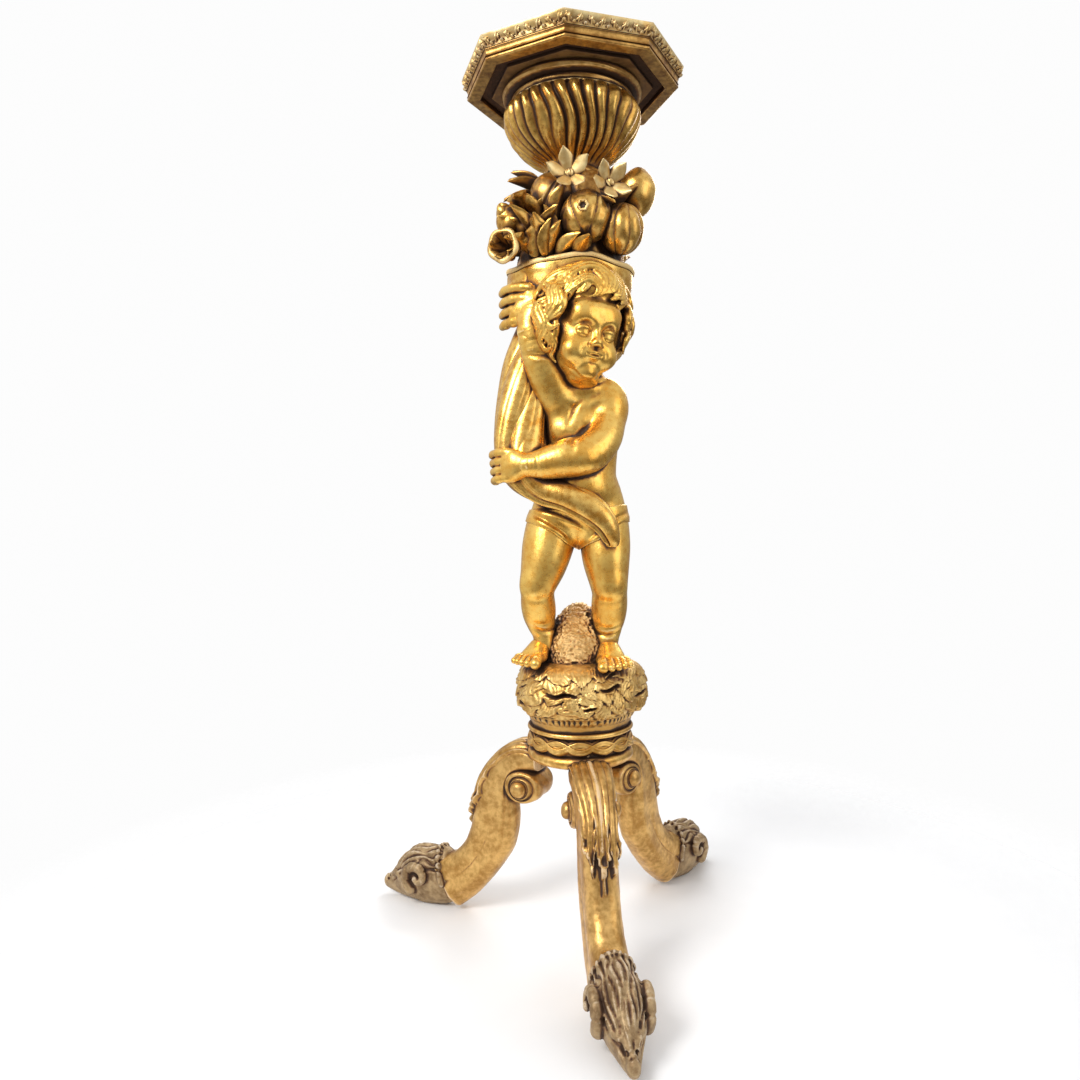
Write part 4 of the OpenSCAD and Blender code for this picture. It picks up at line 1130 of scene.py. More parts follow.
@dataclass(frozen=True)
class Levels:
    """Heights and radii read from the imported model, in millimetres.

    Attributes:
        drum: Underside of the drum.
        rock: Underside of the rock.
        sole: Soles of the child.
        rim: Rim of the horn.
        bulb: Foot of the bulb.
        collar: Foot of the collar.
        pad: Underside of the pad.
        rail: Foot of the rails.
        board: Underside of the top board.
        top: Top of the stand.
        drum_r: Radius of the drum.
        braid: Foot and top of the plaited band.
    """

    drum: float
    rock: float
    sole: float
    rim: float
    bulb: float
    collar: float
    pad: float
    rail: float
    board: float
    top: float
    drum_r: float
    braid: tuple[float, float]

    @classmethod
    def read(cls) -> Levels:
        """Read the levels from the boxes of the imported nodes."""
        low = {n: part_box(n)[0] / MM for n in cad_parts}
        high = {n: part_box(n)[1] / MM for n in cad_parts}
        sole, bulb = high["rock"].z, low["bulb"].z
        return cls(
            drum=low["drum"].z, rock=low["rock"].z, sole=sole, rim=sole + (bulb - sole) * RIM_SHARE,
            bulb=bulb,
            collar=low["collar"].z, pad=low["pad"].z, rail=low["rails"].z, board=low["top_board"].z,
            top=high["top_board"].z, drum_r=high["drum"].x, braid=(low["braid_band"].z, high["braid_band"].z))


# ---------- Putto ----------


@dataclass
class Putto:
    """The child who carries the horn of plenty.

    Attributes:
        sole: Height of the soles.
        grain: Grain of the body's block.
        fine: Grain of the hands and the feet.
    """

    sole: float
    grain: float = 1.55
    fine: float = 1.0

    def rows(self, knots: Knots) -> list[tuple[float, ...]]:
        """Knots with their heights counted from the soles."""
        return [(k[0], k[1], k[2] + self.sole, *k[3:]) for k in knots]

    def part(self, *knots: Sequence[float], face: Sequence[float] = (0, 1, 0), steps: int = 4) -> list[Lump]:
        """A limb with heights counted from the soles."""
        return limb(self.rows(knots), face, steps)

    def ball(self, x: float, y: float, h: float, *radii: float) -> list[Lump]:
        """An egg with its height counted from the soles."""
        return egg((x, y, h + self.sole), radii)

    def crease(self, clay: Clay, depth: float, width: float, *path: Sequence[float], **how: Any) -> None:
        """Draw a crease with heights counted from the soles."""
        clay.stroke(self.rows(path), depth, width, **how)

    def trunk(self, clay: Clay) -> None:
        """Carve the trunk.

        Args:
            clay: The block that is carved.
        """
        clay.add(self.part(
            (0, -11, 187, 38, 28), (2, -10, 203, 60, 42), (3, -12, 222, 60, 43), (4, -17, 250, 50.5, 42),
            (6, -20, 286, 50, 39), (8, -21, 314, 53, 36), (11, -22, 340, 51, 31), (13, -25, 360, 36, 28),
            (13, -31, 376, 27, 26), (11, -37, 396, 24, 24)), 2)
        clay.add(self.ball(4, -30, 238, 42, 36, 36), 14)
        for side in (-1, 1):
            clay.add(self.ball(10 + 21 * side, -42, 316, 25, 14, 18), 11)
            clay.add(self.ball(10 + 24 * side, 2, 322, 21, 12, 24), 12)
            clay.add(self.ball(2 + 24 * side, 10, 196, 27, 22, 25), 14)
            self.crease(clay, -2.4, 5, (13 + 5 * side, -50, 345, 0.3), (13 + 18 * side, -50, 352),
                        (13 + 36 * side, -40, 354, 0.4))
            self.crease(clay, 2.6, 4.5, (10 + 5 * side, -56, 300, 0.4), (10 + 20 * side, -56, 295),
                        (10 + 38 * side, -44, 299, 0.2))
            clay.add(self.ball(10 + 25 * side, -55.5, 313, 2.4, 1.8, 2.4), 2)
        self.crease(clay, 1.5, 6, (11, -60, 330, 0.2), (9, -60, 316), (8, -60, 292), (6, -62, 262, 0.2))
        self.crease(clay, 3.2, 6, (12, 16, 348, 0.2), (8, 22, 300), (4, 31, 246), (2, 34, 216, 0.5))
        self.crease(clay, 5.0, 5, (2, 34, 214, 0.3), (2, 34, 190), (1, 30, 168), reach=22)
        self.crease(clay, 2.2, 4, (-36, -46, 268, 0.2), (-12, -60, 271), (16, -61, 272), (40, -44, 268, 0.2))
        for h in (386, 377):
            self.crease(clay, 1.8, 3, (-12, -44, h, 0.2), (2, -55, h - 4), (14, -58, h - 5), (28, -54, h - 3),
                        (38, -42, h, 0.2))

    def legs(self, clay: Clay) -> None:
        """Carve both legs down to the ankles.

        Args:
            clay: The block that is carved.
        """
        clay.add(self.part(
            (-22, -9, 208, 34, 37), (-33, -13, 188, 36, 38), (-40.5, -19, 160, 35.5, 37),
            (-46.5, -25, 134, 31.5, 33.5),
            (-54.5, -29, 106, 25, 27.5), (-56, -26, 90, 23.3, 25), (-55, -18, 70, 23.6, 25.5),
            (-52, -13, 50, 19.5, 21.5),
            (-48.5, -12, 36, 16.3, 18.5), (-47, -12, 20, 15.5, 18.5), (-46, -12, 8, 14, 17), steps=8), 7)
        clay.add(self.part(
            (30, -8, 208, 34, 36), (35, -11, 188, 35.5, 37), (38, -16, 160, 34.5, 36), (39, -21, 137, 32, 34),
            (42, -25, 106, 26, 28), (43, -22, 90, 24.5, 26), (42.5, -15, 70, 24.5, 26.5),
            (41, -13, 50, 21, 23),
            (39, -13, 34, 17.8, 19.5), (37.5, -12, 20, 16.5, 19), (37, -12, 8, 15, 17.5), steps=8), 7)
        for m, x, h in ((-1, -57, 102), (1, 42, 99)):
            clay.add(self.ball(x + 2 * m, -39, h + 2, 16, 12, 19), 13)
            clay.add(self.ball(x, -2, h - 36, 19, 14, 24), 12)
            self.crease(clay, 1.5, 5, (x - 24, -30, h - 6, 0.2), (x - 10, -45, h - 15), (x + 8, -46, h - 15),
                        (x + 24, -30, h - 6, 0.2))
            self.crease(clay, 1.2, 5, (x - 16, -40, h + 10, 0.1), (x - 15, -44, h - 2),
                        (x - 8, -48, h - 11, 0.2))
            self.crease(clay, 1.2, 5, (x + 16, -40, h + 10, 0.1), (x + 15, -44, h - 2),
                        (x + 8, -48, h - 11, 0.2))
            self.crease(clay, 3.0, 4, (x - 20, 0, h - 4, 0.3), (x, 4, h - 8), (x + 20, 0, h - 4, 0.3))
            self.crease(clay, 3.4, 5, (x * 0.6 - 26, 22, 160, 0.3), (x * 0.6, 26, 154),
                        (x * 0.6 + 26, 22, 160, 0.3), reach=18)
        for x, y, h, tilt in ((-49, -30, 42, 3), (39, -30, 36, -2)):
            self.crease(clay, 2.6, 3.2, (x - 19, y + 8, h + 4 + tilt, 0.3), (x, y, h - 1),
                        (x + 19, y + 8, h + 4 - tilt, 0.3))
            self.crease(clay, 1.5, 2.8, (x - 17, y + 8, h + 14, 0.2), (x, y, h + 9),
                        (x + 17, y + 8, h + 14, 0.2))
            self.crease(clay, 2.2, 3.4, (x - 14, 4, h - 8, 0.2), (x, 6, h - 12), (x + 14, 4, h - 8, 0.2))

    def arms(self, clay: Clay) -> None:
        """Carve both arms down to the wrists.

        Args:
            clay: The block that is carved.
        """
        clay.add(self.part(
            (-14, -24, 336, 30, 25), (-25, -34, 358, 30, 27), (-37, -46, 386, 27.5, 25),
            (-48, -54, 414, 23.5, 22), (-57, -60, 438, 19, 17), (-59, -61, 446, 17, 16)), 11)
        clay.add(self.part(
            (36, -22, 358, 22, 22), (43, -27, 342, 26.5, 25), (42, -36, 322, 24.5, 25),
            (34, -50, 300, 26, 25),
            (15, -64, 282, 27.5, 24), (-12, -71, 275, 25.5, 22), (-38, -73, 269, 21.5, 19),
            (-58, -72, 267, 17, 16.5), (-66, -71, 267, 15.5, 15.5)), 11,
                 ((42, -22, self.sole + 340), 42, 2.0))
        clay.add(self.ball(44, -24, 352, 25, 25, 32), 12)
        clay.add(self.ball(-6, -80, 273, 30, 12, 18), 12)
        self.crease(clay, 4.5, 4.5, (20, -60, 322, 0.2), (4, -74, 306), (-6, -86, 297), (-4, -92, 282, 0.2),
                    along=(0.3, 1, 0.2), reach=16)
        for x in (-57, -50):
            self.crease(clay, 1.0, 3.4, (x, -72, 286, 0.5), (x - 2, -88, 274), (x - 2, -88, 258),
                        (x, -72, 250, 0.5), reach=22)
        self.crease(clay, 2.4, 2.8, (-74, -66, 436, 0.4), (-56, -76, 438), (-38, -68, 436, 0.4))
        self.crease(clay, 2.2, 3.2, (-68, -60, 412, 0.3), (-50, -74, 409), (-26, -66, 409, 0.3))
        self.crease(clay, 3.2, 4, (8, -50, 352, 0.2), (-2, -56, 342), (-10, -56, 322, 0.3))

    def body(self) -> Shell:
        """Carve trunk, arms and legs from one block."""
        clay = Clay((-92, -98, self.sole + 14), (78, 46, self.sole + 464), self.grain)
        self.trunk(clay)
        self.legs(clay)
        self.arms(clay)
        return clay.shell()

    def hand(self, low: Sequence[float], high: Sequence[float], palm: Knots,
             fingers: Sequence[Knots]) -> Shell:
        """Carve a hand.

        Args:
            low: Lowest corner of the block.
            high: Highest corner of the block.
            palm: Knots from the wrist over the palm.
            fingers: Knots of each finger, and of the thumb if it shows.

        Returns:
            The hand.
        """
        clay = Clay(*self.rows([low, high]), self.fine)
        clay.add(self.part(*palm, face=(0, 0, 1)), 5)
        for finger in fingers:
            own = clay.blank()
            own.add(self.part(*finger, face=(0, 0, 1), steps=5), 0.5)
            for a, b in zip(finger[:3], finger[1:]):
                x, y, h, r = (np.array(a) + np.array(b)) / 2
                own.add(self.ball(x, y, h, r * 1.12, r * 1.12, r * 1.02), 3)
            clay.field = joined(clay.field, own.field, 1.3)
        return clay.shell()

    def left_hand(self) -> Shell:
        """Carve the left hand, laid under the horn."""
        return self.hand(
            (-124, -92, 222), (-44, -14, 306),
            ((-54, -72, 267, 17.5, 17.5), (-62, -71.5, 267, 15.5, 15.5), (-72, -71, 267, 13, 17.5),
             (-82, -70, 266.5, 11, 21.5), (-92, -65, 266.5, 9, 22.5)),
            [((-84, -69, 283 - 10.8 * i, 5.9), (-98, -63, 284.5 - 11.4 * i, 5.9),
              (-109, -51, 284 - 11.8 * i, 5.4),
              (-114.5 + 1.2 * i, -37, 282 - 11.8 * i, 4.7), (-115 + 2 * i, -29, 281 - 11.8 * i, 3.4))
             for i in range(4)])

    def right_hand(self) -> Shell:
        """Carve the right hand, raised to the horn's cup."""
        thumb = ((-50, -60, 462, 8), (-44, -58, 478, 7.5), (-42, -56, 492, 6.6), (-43, -54, 502, 5),
                 (-44, -53, 507, 4))
        return self.hand(
            (-110, -80, 416), (-26, -6, 518),
            ((-55, -60, 436, 18.5, 17.5), (-58, -61, 446, 17, 16), (-60, -60, 458, 14, 18),
             (-63, -58, 474, 9.5, 25), (-69, -56, 481, 8, 28)),
            [*(((-60, -60, 458 + 14.2 * i, 6.9), (-75, -54, 459 + 14.6 * i, 6.9),
                (-88, -43, 459 + 14.8 * i, 6.4),
                (-97, -28, 458 + 14.8 * i, 5.6), (-99.5, -18, 458 + 14.8 * i, 3.8)) for i in range(4)),
             thumb])

    def foot(self, heel: tuple[float, float], end: tuple[float, float], lift: float) -> Shell:
        """Carve a foot.

        Args:
            heel: Where the heel stands, across and in depth.
            end: Where the toes end.
            lift: How far the toes rise over the heel.

        Returns:
            The foot.
        """
        a, b = np.array(heel), np.array(end)
        way = (b - a) / np.linalg.norm(b - a)
        side = np.array([-way[1], way[0]])
        inward = -side if side[0] * heel[0] > 0 else side

        def knots(*rows: Sequence[float]) -> list[tuple[float, ...]]:
            """Knots by share of the length, distance inward, height and sizes."""
            return [(*(a + (b - a) * t + inward * s), h + lift * t, *sizes) for t, s, h, *sizes in rows]

        clay = Clay((*(np.minimum(a, b) - (34, 26)), self.sole - 10),
                    (*(np.maximum(a, b) + 34), self.sole + 34), self.fine)
        clay.add(self.part(*knots((0, 0, 40, 16.5, 18.5), (0, 0, 22, 15.8, 17.5), (-0.02, 0, 8, 14, 15))), 2)
        clay.add(self.part(*knots(
            (-0.14, 0, 10, 10, 9), (0.05, 0, 13, 15.5, 14), (0.3, 0, 16, 16, 15), (0.55, 0, 12, 18.5, 11.5),
            (0.70, 1, 8.6, 20.5, 8.6), (0.78, 1, 7.2, 20.5, 7)), face=(0, 0, 1)), 12)
        toes = ((0.02, 16, 7.6), (0, 5.2, 5.5), (0.04, -4.2, 5.2), (0.10, -12.8, 4.9), (0.17, -20.2, 4.6))
        for short, across, r in toes:
            reach = 1.12 - short
            clay.add(self.part(*knots(
                (reach - 0.40, across * 0.84, 8, r * 0.9), (reach - 0.16, across, 9.4, r * 0.88),
                (reach - 0.08, across, 7.4, r * 0.92), (reach, across * 1.05, 5.2, r * 0.98)),
                               face=(0, 0, 1)), 0.9)
            nail, = knots((reach + 0.03, across * 1.05, 5.4 + r * 1.05, r * 0.55, r * 0.6, r * 0.2))
            clay.cut(self.ball(*nail), 0.8)
        self.crease(clay, 2.0, 3.4, *knots((0.12, -20, 18), (0.3, -10, 27), (0.34, 2, 29), (0.2, 18, 22)),
                    along=(0, 0, 1), reach=12)
        return clay.shell()

    def cloth(self) -> Shell:
        """Carve the short cloth wound round the hips, with its soft folds."""
        clay = Clay((-92, -78, self.sole + 138), (88, 50, self.sole + 218), self.grain)
        trunk = (0, -11, 187, 38, 28), (2, -10, 203, 60, 42), (3, -12, 224, 60, 43)
        right = (-22, -9, 208, 34, 37), (-33, -13, 188, 36, 38), (-40.5, -19, 160, 35.5, 37), (-45, -24, 140,
            32, 34)
        left = (30, -8, 208, 34, 36), (35, -11, 188, 35.5, 37), (38, -16, 160, 34.5, 36), (39, -21, 140, 32,
            34)
        inner = clay.blank()
        for block, over in ((clay, 2.2), (inner, -3.0)):
            for knots in (trunk, right, left):
                block.add(self.part(*[(*place, a + over, b + over) for *place, a, b in knots]), 9)
            for side in (-1, 1):
                block.add(self.ball(2 + 24 * side, 10, 196, 27 + over, 22 + over, 25 + over), 14)
        folds = (
            ((-70, -30, 205), (-48, -62, 196), (-22, -66, 180), (-2, -60, 162)),
            ((-62, -40, 213), (-30, -62, 204), (0, -66, 190), (18, -64, 172)),
            ((74, -22, 204), (56, -52, 196), (34, -64, 182), (12, -62, 166)),
            ((72, -26, 190), (56, -52, 182), (38, -60, 172)))
        for path in folds:
            for depth, width, drop in ((2.2, 2.6, 0), (-1.6, 3.6, 6)):
                self.crease(clay, depth, width, *[(x, y, h - drop, s) for (x, y, h),
                                                  s in zip(path, (0.2, 1, 1, 0.2))])
        for drop in (0, 13, 26):
            self.crease(clay, 2.4, 3.4, (-66, 22, 208 - drop, 0.3), (-34, 34, 198 - drop),
                        (2, 34, 192 - drop),
                        (36, 34, 198 - drop), (66, 20, 208 - drop, 0.3), reach=20)
        x, y, z = clay.grid()
        front, behind = (np.interp(x, across, self.sole + np.array(heights)) for across, heights in (
            ([-80, -60, -34, 2, 40, 62, 80], [192, 190, 176, 151, 174, 188, 190]),
            ([-70, 0, 70], [172, 160, 172])))
        hem = front + (behind - front) * ease(y, -8, 22) + 1.3 * np.sin(x / 7.5)
        brim = self.sole + 210 + 0.03 * x + 1.2 * np.sin(x / 9.0 + 1)
        clay.field = np.maximum(clay.field, np.maximum(hem - z, z - brim).astype(np.float32))
        clay.field = -joined(-clay.field, inner.field, 1.0)
        return clay.shell()

    def carve(self, bench: Bench) -> None:
        """Carve the whole child onto the bench.

        Args:
            bench: Where the pieces go.
        """
        pieces = {
            "body": (self.body(), "torso", "right_arm", "left_arm", "right_leg", "left_leg"),
            "left_hand": (self.left_hand(), "left_arm"),
            "right_hand": (self.right_hand(), "right_arm"),
            "right_foot": (self.foot((-46, -3), (-71, -51), -3), "right_leg"),
            "left_foot": (self.foot((37, -2), (47, -67), -6), "left_leg")}
        for name, (shell, *nodes) in pieces.items():
            bench.keep(f"putto_{name}", shell, Finish.BURNISHED, *[f"putto_{node}" for node in nodes])
        bench.keep("putto_cloth", self.cloth(), Finish.BURNISHED, "loin_cloth")
        head = Head().carve().moved(turned(4, 8, 26), (-1, -49, self.sole + 377))
        bench.keep("putto_face_and_hair", head, Finish.BURNISHED, "putto_head")


@dataclass
class Head:
    """A generic cherub's head with carved hair. The face looks along -Y, with the chin at zero."""

    grain: float = 1.4

    def skull(self, clay: Clay) -> None:
        """Carve the head without features.

        Args:
            clay: The block that is carved.
        """
        clay.add(egg((0, 8, 84), (50, 56, 57)), 2)
        clay.add(egg((0, -8, 54), (43, 42, 46)), 12)
        clay.add(egg((0, -14, 28), (30, 29, 25)), 14)
        clay.add(limb([(15, 12, 1, 22, 20), (9, 10, 16, 24, 23), (0, 8, 40, 28, 28)]), 9)
        clay.add(egg((0, -34, 10), (13, 11, 10.5)), 9)
        clay.add(egg((6, -11, 3), (21, 17, 10)), 10)
        for m in (-1, 1):
            clay.add(egg((m * 21.5, -33, 35), (17.5, 14.5, 17)), 10)
            clay.add(egg((m * 14, -41, 84), (20, 12, 16)), 12)

    @staticmethod
    def lid(middle: Sequence[float], radii: Sequence[float], edge: float, bow: float,
            upper: bool) -> list[Lump]:
        """An eyelid: the part of an egg above, or below, a bowed edge.

        Args:
            middle: Middle of the eyeball.
            radii: Half sizes of the lid.
            edge: Height of the edge over the middle of the eye.
            bow: How far the edge bends at the corners.
            upper: Whether it is the upper lid.

        Returns:
            The lid.
        """
        whole, = egg(middle, radii)

        def distance(x: np.ndarray, y: np.ndarray, z: np.ndarray) -> np.ndarray:
            """Distance from the lid's surface."""
            bend = edge - bow * ((x - middle[0]) / radii[0]) ** 2 - (z - middle[2])
            return np.maximum(whole.distance(x, y, z), bend if upper else -bend)

        return [Lump(whole.low, whole.high, distance)]

    def face(self, clay: Clay) -> None:
        """Carve calm, regular features.

        Args:
            clay: The block that is carved.
        """
        for m in (-1, 1):
            self.eye(clay, m)
            clay.add(egg((m * 5.4, -51.2, 44.2), (3.7, 4.6, 3.5)), 3)
            clay.cut(egg((m * 3.0, -54.5, 40.9), (1.5, 2.0, 1.3)), 1.2)
            clay.stroke([(m * 8.4, -50, 47, 0.3), (m * 10.2, -50, 43, 1), (m * 9.4, -50, 40, 0.2)], 1.1, 1.7)
            clay.stroke([(m * 13, -46, 40, 0.1), (m * 16.5, -46, 34, 1), (m * 16.5, -46, 28, 0.2)], 1.3, 3.2)
            clay.add(egg((m * 47, 3, 54), (5, 8.5, 13)), 3)
            clay.cut(egg((m * 52.5, 1, 56), (3.2, 4.6, 8)), 1.5)
        clay.add(limb([(0, -46, 70, 3.4, 3.4), (0, -49.5, 58, 3.6, 4.2), (0, -53, 49, 4.4, 4.8)]), 6)
        clay.add(egg((0, -54.6, 46.2), (5.3, 4.8, 4.8)), 3.5)
        clay.stroke([(0, -50, 40.5, 0.6), (0, -50, 36, 1)], 1.2, 1.9)
        clay.add(egg((0, -42, 32), (13, 9.5, 8.5)), 7)
        upper = ((9.5, -47, 31.4, 0.9), (5.2, -50.2, 33.0, 1.7), (1.8, -51.6, 34.0, 2.0))
        lower = ((8, -47, 30, 0.9), (4, -49.8, 28.2, 2.1))
        clay.add(limb(self.both(upper, (0, -51.6, 33.3, 1.9)), (0, 0, 1)), 2.2)
        clay.add(limb(self.both(lower, (0, -50.8, 27.6, 2.5)), (0, 0, 1)), 2.2)
        clay.stroke(self.both(((10.5, -50, 31.4, 0.7), (5, -50, 30.7, 1)), (0, -50, 30.2, 1)), 1.7, 1.1)
        clay.stroke(self.both(((7, -48, 23.2, 0.2),), (0, -48, 21.6, 1)), 1.6, 2.6)
        clay.stroke(self.both(((26, -30, 8, 0.3), (14, -36, 2.5, 1)), (0, -38, 0.5, 1)), 1.2, 2.6,
                    (0, 0.6, 0.8), 10)

    @staticmethod
    def both(side: Knots, middle: Sequence[float]) -> list[Sequence[float]]:
        """A line from one side over the middle to the other side, of equal halves."""
        return [*((-x, *rest) for x, *rest in side), middle, *side[::-1]]

    def eye(self, clay: Clay, m: int) -> None:
        """Carve an eye with its lids and brow.

        Args:
            clay: The head's block.
            m: The side, -1 or 1.
        """
        eye = (m * 17, -39.5, 60)
        clay.cut(egg((m * 17, -56, 61), (14, 10.5, 9.5)), 9)
        clay.add(limb([(m * 5, -48, 71, 2.6), (m * 17, -47.5, 77, 3.2), (m * 30, -38, 73, 2.2)]), 9)
        clay.add(egg(eye, (9.6, 9.4, 9.2)), 0.5)
        clay.add(self.lid(eye, (11.2, 10.9, 10.8), 2.6, 4.6, True), 0.8)
        clay.add(self.lid(eye, (10.9, 10.5, 10.4), -4.4, -3.2, False), 0.8)
        clay.stroke([(m * 8.5, -48, 67.5, 0.3), (m * 17, -50, 71.0), (m * 26, -44, 67.5, 0.3)], 1.4, 1.8)
        clay.stroke([(m * 9, -48, 50.5, 0.2), (m * 17, -48, 48.6), (m * 25, -44, 51, 0.2)], 0.8, 2.4)
        clay.cut(egg((m * 17, -49.4, 59.4), (2.0, 1.3, 2.0)), 0.7)

    def on_skull(self, rows: Knots) -> list[tuple[float, float, float, float]]:
        """Places over the skull by azimuth from the face, elevation, height over the skull and half width."""
        found = []
        for azimuth, rise, lift, half in rows:
            a, e = math.radians(azimuth), math.radians(rise)
            found.append(((51 + lift) * math.sin(a) * math.cos(e),
                          9 - (56 + lift) * math.cos(a) * math.cos(e),
                          80 + (58 + lift) * math.sin(e), half))
        return found

    def hair(self, clay: Clay) -> None:
        """Carve the hair, lock by lock, each of a few strands.

        Args:
            clay: The block that is carved.
        """
        clay.add(egg((0, 17, 88), (56, 55, 58)), 3)
        clay.add(egg((-3, 0, 114), (47, 50, 27)), 5)
        for m in (-1, 1):
            clay.add(egg((m * 47, 4, 76), (14, 27, 38)), 9)
        rng = np.random.default_rng(12)
        middle = (0, 9, 80)
        for rise, count, lift, first in ((62, 7, 7, 30), (36, 10, 9, 66), (10, 11, 9, 70), (-16, 11, 7, 74),
                                         (-38, 9, 4, 88)):
            for i in range(count):
                a = first + (360 - 2 * first) * i / (count - 1) + rng.uniform(-4, 4)
                sway = (1, -1)[i % 2] * rng.uniform(9, 15) / max(math.cos(math.radians(rise)), 0.45)
                up = lift + 3 * (i % 2)
                clay.add(lock(self.on_skull([
                    (a - sway, rise + 18, up - 5, 7), (a + sway * 0.8, rise + 7, up + 1, 11),
                    (a + sway, rise - 8, up + 5, 12),
                    (a - sway * 0.6, rise - 20, up + 5, 9), (a - sway, rise - 30, up + 6, 5),
                    (a - sway * 0.1, rise - 36, up + 9, 1.6)]), middle), 0.5)
        front = (
            # over the crown and the forehead
            ((-30, 66, 13, 7), (-30, 50, 15, 10), (-24, 36, 15, 9), (-28, 26, 12, 6), (-36, 21, 11, 2)),
            ((-10, 68, 13, 7), (-6, 52, 16, 11), (2, 38, 16, 10), (-2, 27, 12, 6), (-12, 20, 11, 2)),
            ((12, 68, 13, 7), (16, 52, 16, 11), (24, 38, 15, 10), (20, 26, 12, 6), (10, 20, 11, 2)),
            ((34, 66, 13, 7), (40, 50, 15, 11), (42, 36, 14, 9), (36, 25, 12, 6), (28, 19, 12, 2)),
            ((-46, 60, 13, 7), (-50, 44, 15, 10), (-44, 30, 13, 9), (-50, 20, 12, 5), (-58, 16, 12, 2)),
            ((-62, 20, 6, 6), (-56, 40, 15, 11), (-34, 56, 19, 13), (-4, 58, 19, 13), (16, 44, 18, 10),
             (12, 31, 15, 6), (-2, 24, 13, 2)),
            ((-44, 72, 12, 7), (-8, 76, 16, 12), (26, 64, 18, 13), (42, 46, 17, 10), (36, 30, 14, 6),
             (22, 23, 13, 2)),
            ((-50, 16, 5, 6), (-40, 30, 13, 9), (-22, 38, 17, 9), (-8, 30, 15, 6), (-12, 21, 12, 3),
             (-20, 18, 11, 1.6)),
            ((-64, 6, 8, 7), (-70, 30, 15, 12), (-58, 54, 17, 12), (-20, 72, 17, 11), (24, 80, 15, 8),
             (60, 68, 10, 3)),
            ((30, 18, 6, 6), (46, 32, 12, 10), (48, 52, 16, 12), (20, 70, 17, 9), (-10, 82, 14, 3)),
            # at the temples and the cheeks
            ((-50, 34, 12, 8), (-64, 22, 17, 12), (-58, 6, 17, 11), (-68, -8, 16, 8), (-60, -17, 18, 5),
             (-48, -14, 19, 2)),
            ((-62, 14, 12, 8), (-80, 2, 18, 13), (-70, -14, 18, 11), (-80, -28, 17, 8), (-72, -39, 19, 5),
             (-60, -36, 21, 2)),
            ((-56, -2, 8, 7), (-70, -18, 13, 10), (-60, -32, 14, 9), (-70, -45, 15, 6), (-62, -54, 18, 2)),
            ((46, 32, 9, 8), (62, 20, 12, 12), (54, 5, 11, 11), (65, -8, 11, 8), (58, -17, 13, 5),
             (46, -13, 14, 2)),
            ((58, 16, 9, 8), (76, 2, 13, 13), (64, -14, 12, 11), (76, -28, 12, 9), (68, -39, 14, 5),
             (56, -35, 16, 2)),
            ((56, -6, 7, 7), (69, -22, 10, 11), (60, -36, 10, 9), (72, -47, 12, 6), (66, -56, 14, 2)),
            ((38, 46, 11, 8), (58, 44, 16, 12), (76, 32, 18, 12), (88, 18, 16, 9), (82, 5, 18, 5),
             (68, 3, 20, 2)),
            ((-40, 50, 13, 8), (-62, 46, 19, 11), (-80, 34, 20, 11), (-92, 20, 19, 8), (-86, 8, 22, 4),
             (-74, 7, 24, 2)),
        )
        for path in front:
            clay.add(lock(self.on_skull(path), middle), 0.5)

    def carve(self) -> Shell:
        """Carve the head from a block."""
        clay = Clay((-96, -84, -24), (98, 100, 170), self.grain)
        self.skull(clay)
        self.face(clay)
        self.hair(clay)
        return clay.shell(1)


# ---------- Horn, rock and stump ----------


